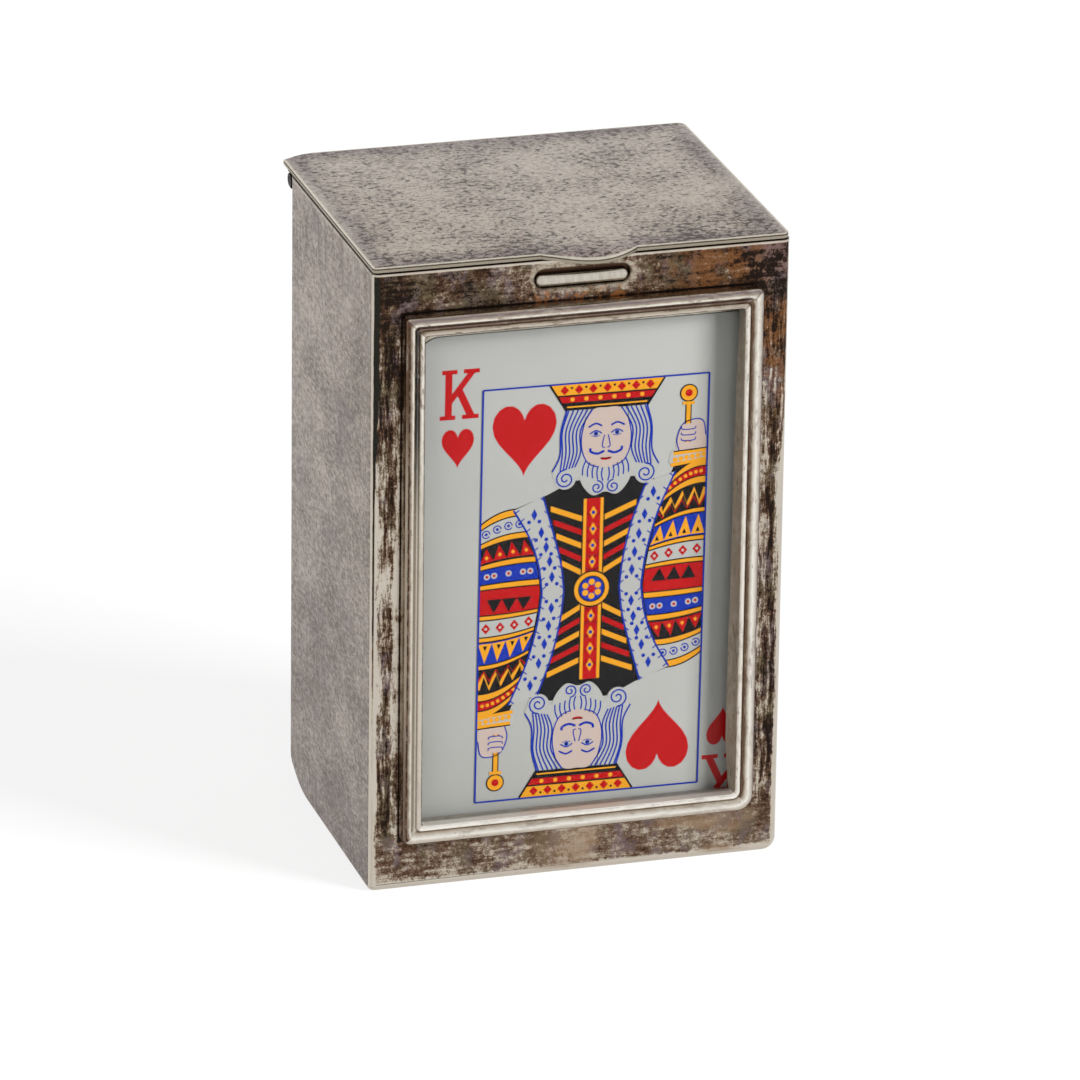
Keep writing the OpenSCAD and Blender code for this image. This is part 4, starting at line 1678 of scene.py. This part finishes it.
# The head's outlines run from its middle line to the right
headShape = {
    "middle": 1.8,
    "crown": (30.5, 31.7, 33.0, 34.9),  # the heights of its bands
    "crownHalf": 6.7,
    "crownFlare": 0.62,
    "eyeLine": 26.3,
    "eyeApart": 1.75,
    "hair": ((6.6, 30.6), (7.5, 27), (7.6, 23), (8.8, 20.4), (7.8, 18.3), (5.6, 18.6)),
    "hairInside": ((3.4, 19.6), (3.8, 24), (3.6, 30.6)),
    "beard": ((4.0, 23.4), (4.5, 20.6), (3.8, 17.8), (2.0, 15.9)),
    "beardTip": (0, 16.4),
    "face": ((2.0, 30.5), (3.4, 28.8), (4.1, 26), (3.9, 23.4), (2.9, 21.4), (1.2, 20.6)),
    "cheek": ((3.5, 28.8), (4.1, 26), (3.9, 23.4), (2.9, 21.4), (1.2, 20.6)),
    "forehead": (0, 30.6),
    "chin": (0, 20.5),
    "brow": ((0.75, 27.55), (1.8, 28.0), (3.0, 27.45)),
    "moustache": ((0.3, 23.3), (1.4, 22.9), (2.5, 23.3), (2.6, 23.9)),
    "nose": ((0.3, 26.0), (0.65, 24.2), (0.2, 23.85)),
}


def onHead(points, side=1):
    return [(headShape["middle"] + side * u, v) for u, v in points]


def bothSides(half, foot):
    # down the left side, through the foot and up the right side
    return [*((-u, v) for u, v in half), foot, *half[::-1]]


def crownHalf(level):
    return headShape["crownHalf"] + (level - headShape["crown"][0]) * headShape["crownFlare"]


def drawCrown():
    foot, dark, band, top = headShape["crown"]
    for ink, low, high in (("yellow", band, top), ("red", dark, band), ("black", foot, dark)):
        wideLow, wideHigh = crownHalf(low), crownHalf(high)
        inkFill(ink, 6, onHead([(-wideLow, low), (wideLow, low), (wideHigh, high), (-wideHigh, high)]))
    for side in (-1, 1):
        inkStroke("black", 8, onHead([(crownHalf(foot), foot), (crownHalf(top), top)], side), 0.3)
    for level in (band, dark):
        inkStroke("black", 8, onHead([(-crownHalf(level), level), (crownHalf(level), level)]), 0.26)
    for i in range(-3, 4):
        lozenge("red", 7, (headShape["middle"] + 2.35 * i, 33.95), 0.72, 0.78)
        if i < 3:
            disc("black", 7, (headShape["middle"] + 2.35 * (i + 0.5), 34.3), 0.2)
            disc("yellow", 7, (headShape["middle"] + 2.3 * (i + 0.5), 32.35), 0.36)
    inkStroke("yellow", 7, onHead([(-6.6, 31.1), (6.6, 31.1)]), 0.25)


def drawHair(side):
    hair = onHead(headShape["hair"], side)
    inkFill("white", 6, smoothPath(hair) + smoothPath(onHead(headShape["hairInside"], side)))
    inkCurve("blue", 8, hair[:4], 0.26)
    for i in range(6):
        low = 4.2 + 0.6 * i
        end = (low + 0.9 - 0.12 * i, 20.9 - 0.1 * i)
        lock = [(2.4 + 0.78 * i, 30.5), (low + 0.1, 27), (low, 23.4), end]
        inkCurve("blue", 9, onHead(lock, side), 0.24)
    (roll,) = onHead([(6.6, 19.0)], side)
    disc("white", 7, roll, 1.75)
    curl("blue", 8, roll, 1.65, -1.7 * side, 0.26)


def drawBeard(side):
    for i in range(5):
        start = (0.5 + 0.7 * i, 20.5 + 0.34 * i)
        end = (0.4 + 0.85 * i, 18.2 + 0.3 * i)
        middle = ((start[0] + end[0]) / 2 + 0.2, (start[1] + end[1]) / 2)
        inkCurve("blue", 8, onHead([start, middle, end], side), 0.22)
    curl("blue", 9, onHead([(1.35, 17.2)], side)[0], 1.15, 1.5 * side, 0.24)


def drawEye(side):
    u, v = onHead([(headShape["eyeApart"], headShape["eyeLine"])], side)[0]
    lids = [(u - 0.95, v), (u, v + 0.42), (u + 0.95, v), (u, v - 0.32)]
    inkFill("white", 9, smoothPath(lids, closed=True))
    disc("blue", 10, (u, v), 0.36)
    disc("black", 11, (u, v), 0.16)
    inkCurve("blue", 10, [(u - 1.0, v), (u, v + 0.5), (u + 1.0, v)], 0.22)
    inkCurve("blue", 10, [(u - 0.7, v - 0.3), (u, v - 0.48), (u + 0.7, v - 0.3)], 0.12)
    for line, width in (("brow", 0.3), ("moustache", 0.4), ("nose", 0.18)):
        inkCurve("blue", 10, onHead(headShape[line], side), width)


def drawHead():
    for side in (-1, 1):
        drawHair(side)
    beard = bothSides(headShape["beard"], headShape["beardTip"])
    inkFill("white", 7, smoothPath(onHead(beard)))
    face = [headShape["forehead"], *bothSides(headShape["face"], headShape["chin"])]
    inkFill("skin", 8, smoothPath(onHead(face), closed=True))
    for side in (-1, 1):
        inkCurve("blue", 9, onHead(headShape["cheek"], side), 0.2)
        drawBeard(side)
        drawEye(side)
    inkCurve("red", 10, onHead([(-0.75, 22.05), (0, 21.95), (0.75, 22.05)]), 0.42)
    inkCurve("black", 11, onHead([(-0.95, 22.12), (0, 22.05), (0.95, 22.12)]), 0.14)


handShape = {
    "cuff": ((12.2, 20.2), (13.2, 22.6), (18.5, 22.4), (18.5, 20.8)),
    "palm": (
        (13.9, 22.3), (13.5, 24.2), (14.4, 26.6), (16.2, 27.4),
        (17.8, 27), (18.3, 24.6), (18.0, 22.5),
    ),
    "rod": 15.3,
    "rodFoot": 23.6,
    "rodTop": 31,
    "knob": (15.3, 31.9),
}


def drawHand():
    # a hand at the right that holds a short rod with a round head
    inkFill("white", 5, smoothPath(handShape["cuff"]))
    for i in range(6):
        disc("yellow", 7, (13.3 + 0.95 * i, 20.75 + 0.12 * i), 0.42)
    inkStroke("yellow", 6, [(12.6, 19.9), (18.5, 20.6)], 0.6)
    inkStroke("yellow", 6, [(13.0, 21.8), (18.5, 22.1)], 0.6)
    inkStroke("black", 7, [(13.0, 22.15), (18.5, 22.45)], 0.2)
    inkFill("skin", 6, smoothPath(handShape["palm"], closed=True))
    inkCurve("blue", 7, handShape["palm"][:-1], 0.2)
    rod, foot, top = handShape["rod"], handShape["rodFoot"], handShape["rodTop"]
    inkStroke("yellow", 7, [(rod, foot), (rod, top)], 0.75)
    for side in (-1, 1):
        inkStroke("black", 8, [(rod + side * 0.42, foot), (rod + side * 0.42, top)], 0.16)
    for ink, layer, radius in (("black", 8, 1.5), ("yellow", 9, 1.3), ("red", 10, 0.6)):
        disc(ink, layer, handShape["knob"], radius)
    inkStroke("yellow", 9, [(rod - 1, 30.2), (rod + 1, 30.2)], 0.5)
    for i in range(3):
        v = 24.3 + 0.95 * i
        upper = [(14.3, v), (14.5, v + 0.42), (16.3, v + 0.5)]
        finger = upper + [(16.6, v + 0.05), (16.3, v - 0.36), (14.5, v - 0.36)]
        inkFill("skin", 9, smoothPath(finger, closed=True))
        inkCurve("blue", 10, [(16.6, v + 0.05), (16.3, v - 0.4), (14.5, v - 0.4), (14.2, v)], 0.18)


def drawFrame():
    across, up = cardPrint["frameHalf"]
    corners = boxPoints(-across, -up, across, up)
    for a, b in zip(corners, corners[1:] + corners[:1]):
        inkStroke("blue", 12, [a, b], 0.28, twice=False)


inkFinish = {
    "paperShows": 0.012,  # share of the paper's colour where the ink is thin
    "rough": (0.4, 0.5),
    "shine": 0.06,
}


def inkMaterial(ink):
    material, tree, shader = startMaterial("ink" + ink.capitalize())
    colour = inkColours[ink]
    fine = grain(tree, millimetres(tree), 4.5, 3, 0.7)
    shows = inkFinish["paperShows"]
    pale = tuple(c + (p - c) * shows for c, p in zip(colour, inkColours["white"]))
    feed(tree, blend(tree, fade(tree, fine, 0.38, 0.66), colour, pale), shader.inputs["Base Color"])
    feed(tree, fade(tree, fine, 0.3, 0.7, *inkFinish["rough"]), shader.inputs["Roughness"])
    shader.inputs["Specular IOR Level"].default_value = inkFinish["shine"]
    dent(tree, shader, fine, 0.06, 0.02)
    return material


def onCard(spot):
    # the print lies a little turned on the card
    share, (across, up) = cardPrint["share"], cardPrint["shift"]
    turned = Matrix.Rotation(-math.radians(cardPrint["turn"]), 2) @ Vector(spot)
    return turned.x * share + across, turned.y * share + up


def layInk(ink):
    middle = (cardLow + cardHigh) / 2
    dropAll()
    bpy.ops.mesh.primitive_circle_add(vertices=3, radius=1, fill_type="NGON")
    piece = bpy.context.object
    piece.name = "ink" + ink.capitalize()
    shape = bmesh.new()
    for layer, points in inkShapes[ink]:
        y = cardLow.y - (cardPrint["firstLayer"] + cardPrint["layerStep"] * (layer - 1)) * mm
        laid = [onCard(point) for point in points]
        corners = [shape.verts.new((middle.x + u * mm, y, middle.z + v * mm)) for u, v in laid]
        shape.faces.new(corners)
    bmesh.ops.triangulate(shape, faces=shape.faces[:])
    shape.to_mesh(piece.data)
    shape.free()
    bpy.ops.object.transform_apply(location=True, rotation=True, scale=True)
    modify(piece, "SOLIDIFY", thickness=cardPrint["inkThickness"] * mm, offset=-1)
    finishPiece(piece, "case", "card", [], inkMaterial(ink))


for draw in (drawIndex, drawRobe, drawFront, drawCollar, drawCrown, drawHead, drawHand, drawFrame):
    draw()
for ink in inkColours:
    layInk(ink)
print("card: six inks,", sum(len(shapes) for shapes in inkShapes.values()), "shapes")


glassFinish = {
    "Base Color": (0.96, 0.98, 0.97, 1),
    "Roughness": 0.02,
    "IOR": 1.15,
    "Transmission Weight": 1.0,
}


def mixShaders(tree, share, first, second):
    either = tree.nodes.new("ShaderNodeMixShader")
    for value, socket in zip((share, first.outputs[0], second.outputs[0]), either.inputs):
        tree.links.new(value, socket)
    tree.links.new(either.outputs[0], tree.nodes["Material Output"].inputs["Surface"])


def windowGlass():
    # clear to the light and its shadows, a little bright where it mirrors
    material, tree, shader = startMaterial("windowGlass")
    for name, value in glassFinish.items():
        shader.inputs[name].default_value = value
    clear = tree.nodes.new("ShaderNodeBsdfTransparent")
    light = tree.nodes.new("ShaderNodeLightPath")
    softRay = most(tree, light.outputs["Is Shadow Ray"], light.outputs["Is Diffuse Ray"])
    mixShaders(tree, softRay, shader, clear)
    return material


nodes["window_glass"].data.materials.clear()
nodes["window_glass"].data.materials.append(windowGlass())


# Stage: floor, world and lamps
stageShape = {
    "floorSize": 8,
    "floorZ": -0.03 * mm,
    "floorPlain": 0.85,  # what lights the object
    "floorGlow": 0.77,  # what is seen, with its shadows
    "floorShade": 0.36,
    "ambient": 0.27,
    "aim": (0, 0, 0.05),
    "lamps": {  # place, size and power
        "keyLamp": ((2.08, -1.85, 0.95), (1.1, 1.4), 114),
        "fillLamp": ((-1.6, -1.5, 1.5), (1.2, 1.6), 14),
    },
}


def seenDirectly(tree):
    # 1 for the camera and for mirrored or refracted rays, 0 for the light itself
    path = tree.nodes.new("ShaderNodeLightPath")
    seen = most(tree, path.outputs["Is Camera Ray"], path.outputs["Is Glossy Ray"])
    return most(tree, seen, path.outputs["Is Transmission Ray"])


def addFloor():
    dropAll()
    bpy.ops.mesh.primitive_plane_add(size=stageShape["floorSize"], location=(0, 0, stageShape["floorZ"]))
    floor = bpy.context.object
    floor.name = "floor"
    material, tree, shader = startMaterial("floor")
    tree.nodes.remove(shader)
    plain = tree.nodes.new("ShaderNodeBsdfDiffuse")
    glow = tree.nodes.new("ShaderNodeEmission")
    soft = tree.nodes.new("ShaderNodeBsdfDiffuse")
    for part, key in ((plain, "floorPlain"), (glow, "floorGlow"), (soft, "floorShade")):
        part.inputs["Color"].default_value = (*(stageShape[key],) * 3, 1)
    both = tree.nodes.new("ShaderNodeAddShader")
    tree.links.new(glow.outputs[0], both.inputs[0])
    tree.links.new(soft.outputs[0], both.inputs[1])
    mixShaders(tree, seenDirectly(tree), plain, both)
    floor.data.materials.append(material)


def setWorld():
    world = bpy.data.worlds.new("studio")
    world.use_nodes = True
    bpy.context.scene.world = world
    tree = world.node_tree
    background = tree.nodes["Background"]
    background.inputs["Color"].default_value = (1, 1, 1, 1)
    strength = fade(tree, seenDirectly(tree), 0, 1, stageShape["ambient"], 1.0)
    feed(tree, strength, background.inputs["Strength"])


def addLamp(name, place, size, power):
    data = bpy.data.lights.new(name, "AREA")
    data.shape = "RECTANGLE"
    data.size, data.size_y = size
    data.energy = power
    lamp = bpy.data.objects.new(name, data)
    bpy.context.scene.collection.objects.link(lamp)
    lamp.location = place
    lamp.visible_glossy = False
    way = Vector(stageShape["aim"]) - Vector(place)
    lamp.rotation_euler = way.to_track_quat("-Z", "Y").to_euler()


addFloor()
setWorld()
for name, (place, size, power) in stageShape["lamps"].items():
    addLamp(name, place, size, power)
print("stage: floor, world and lamps")

bpy.context.scene.view_settings.view_transform = "Standard"
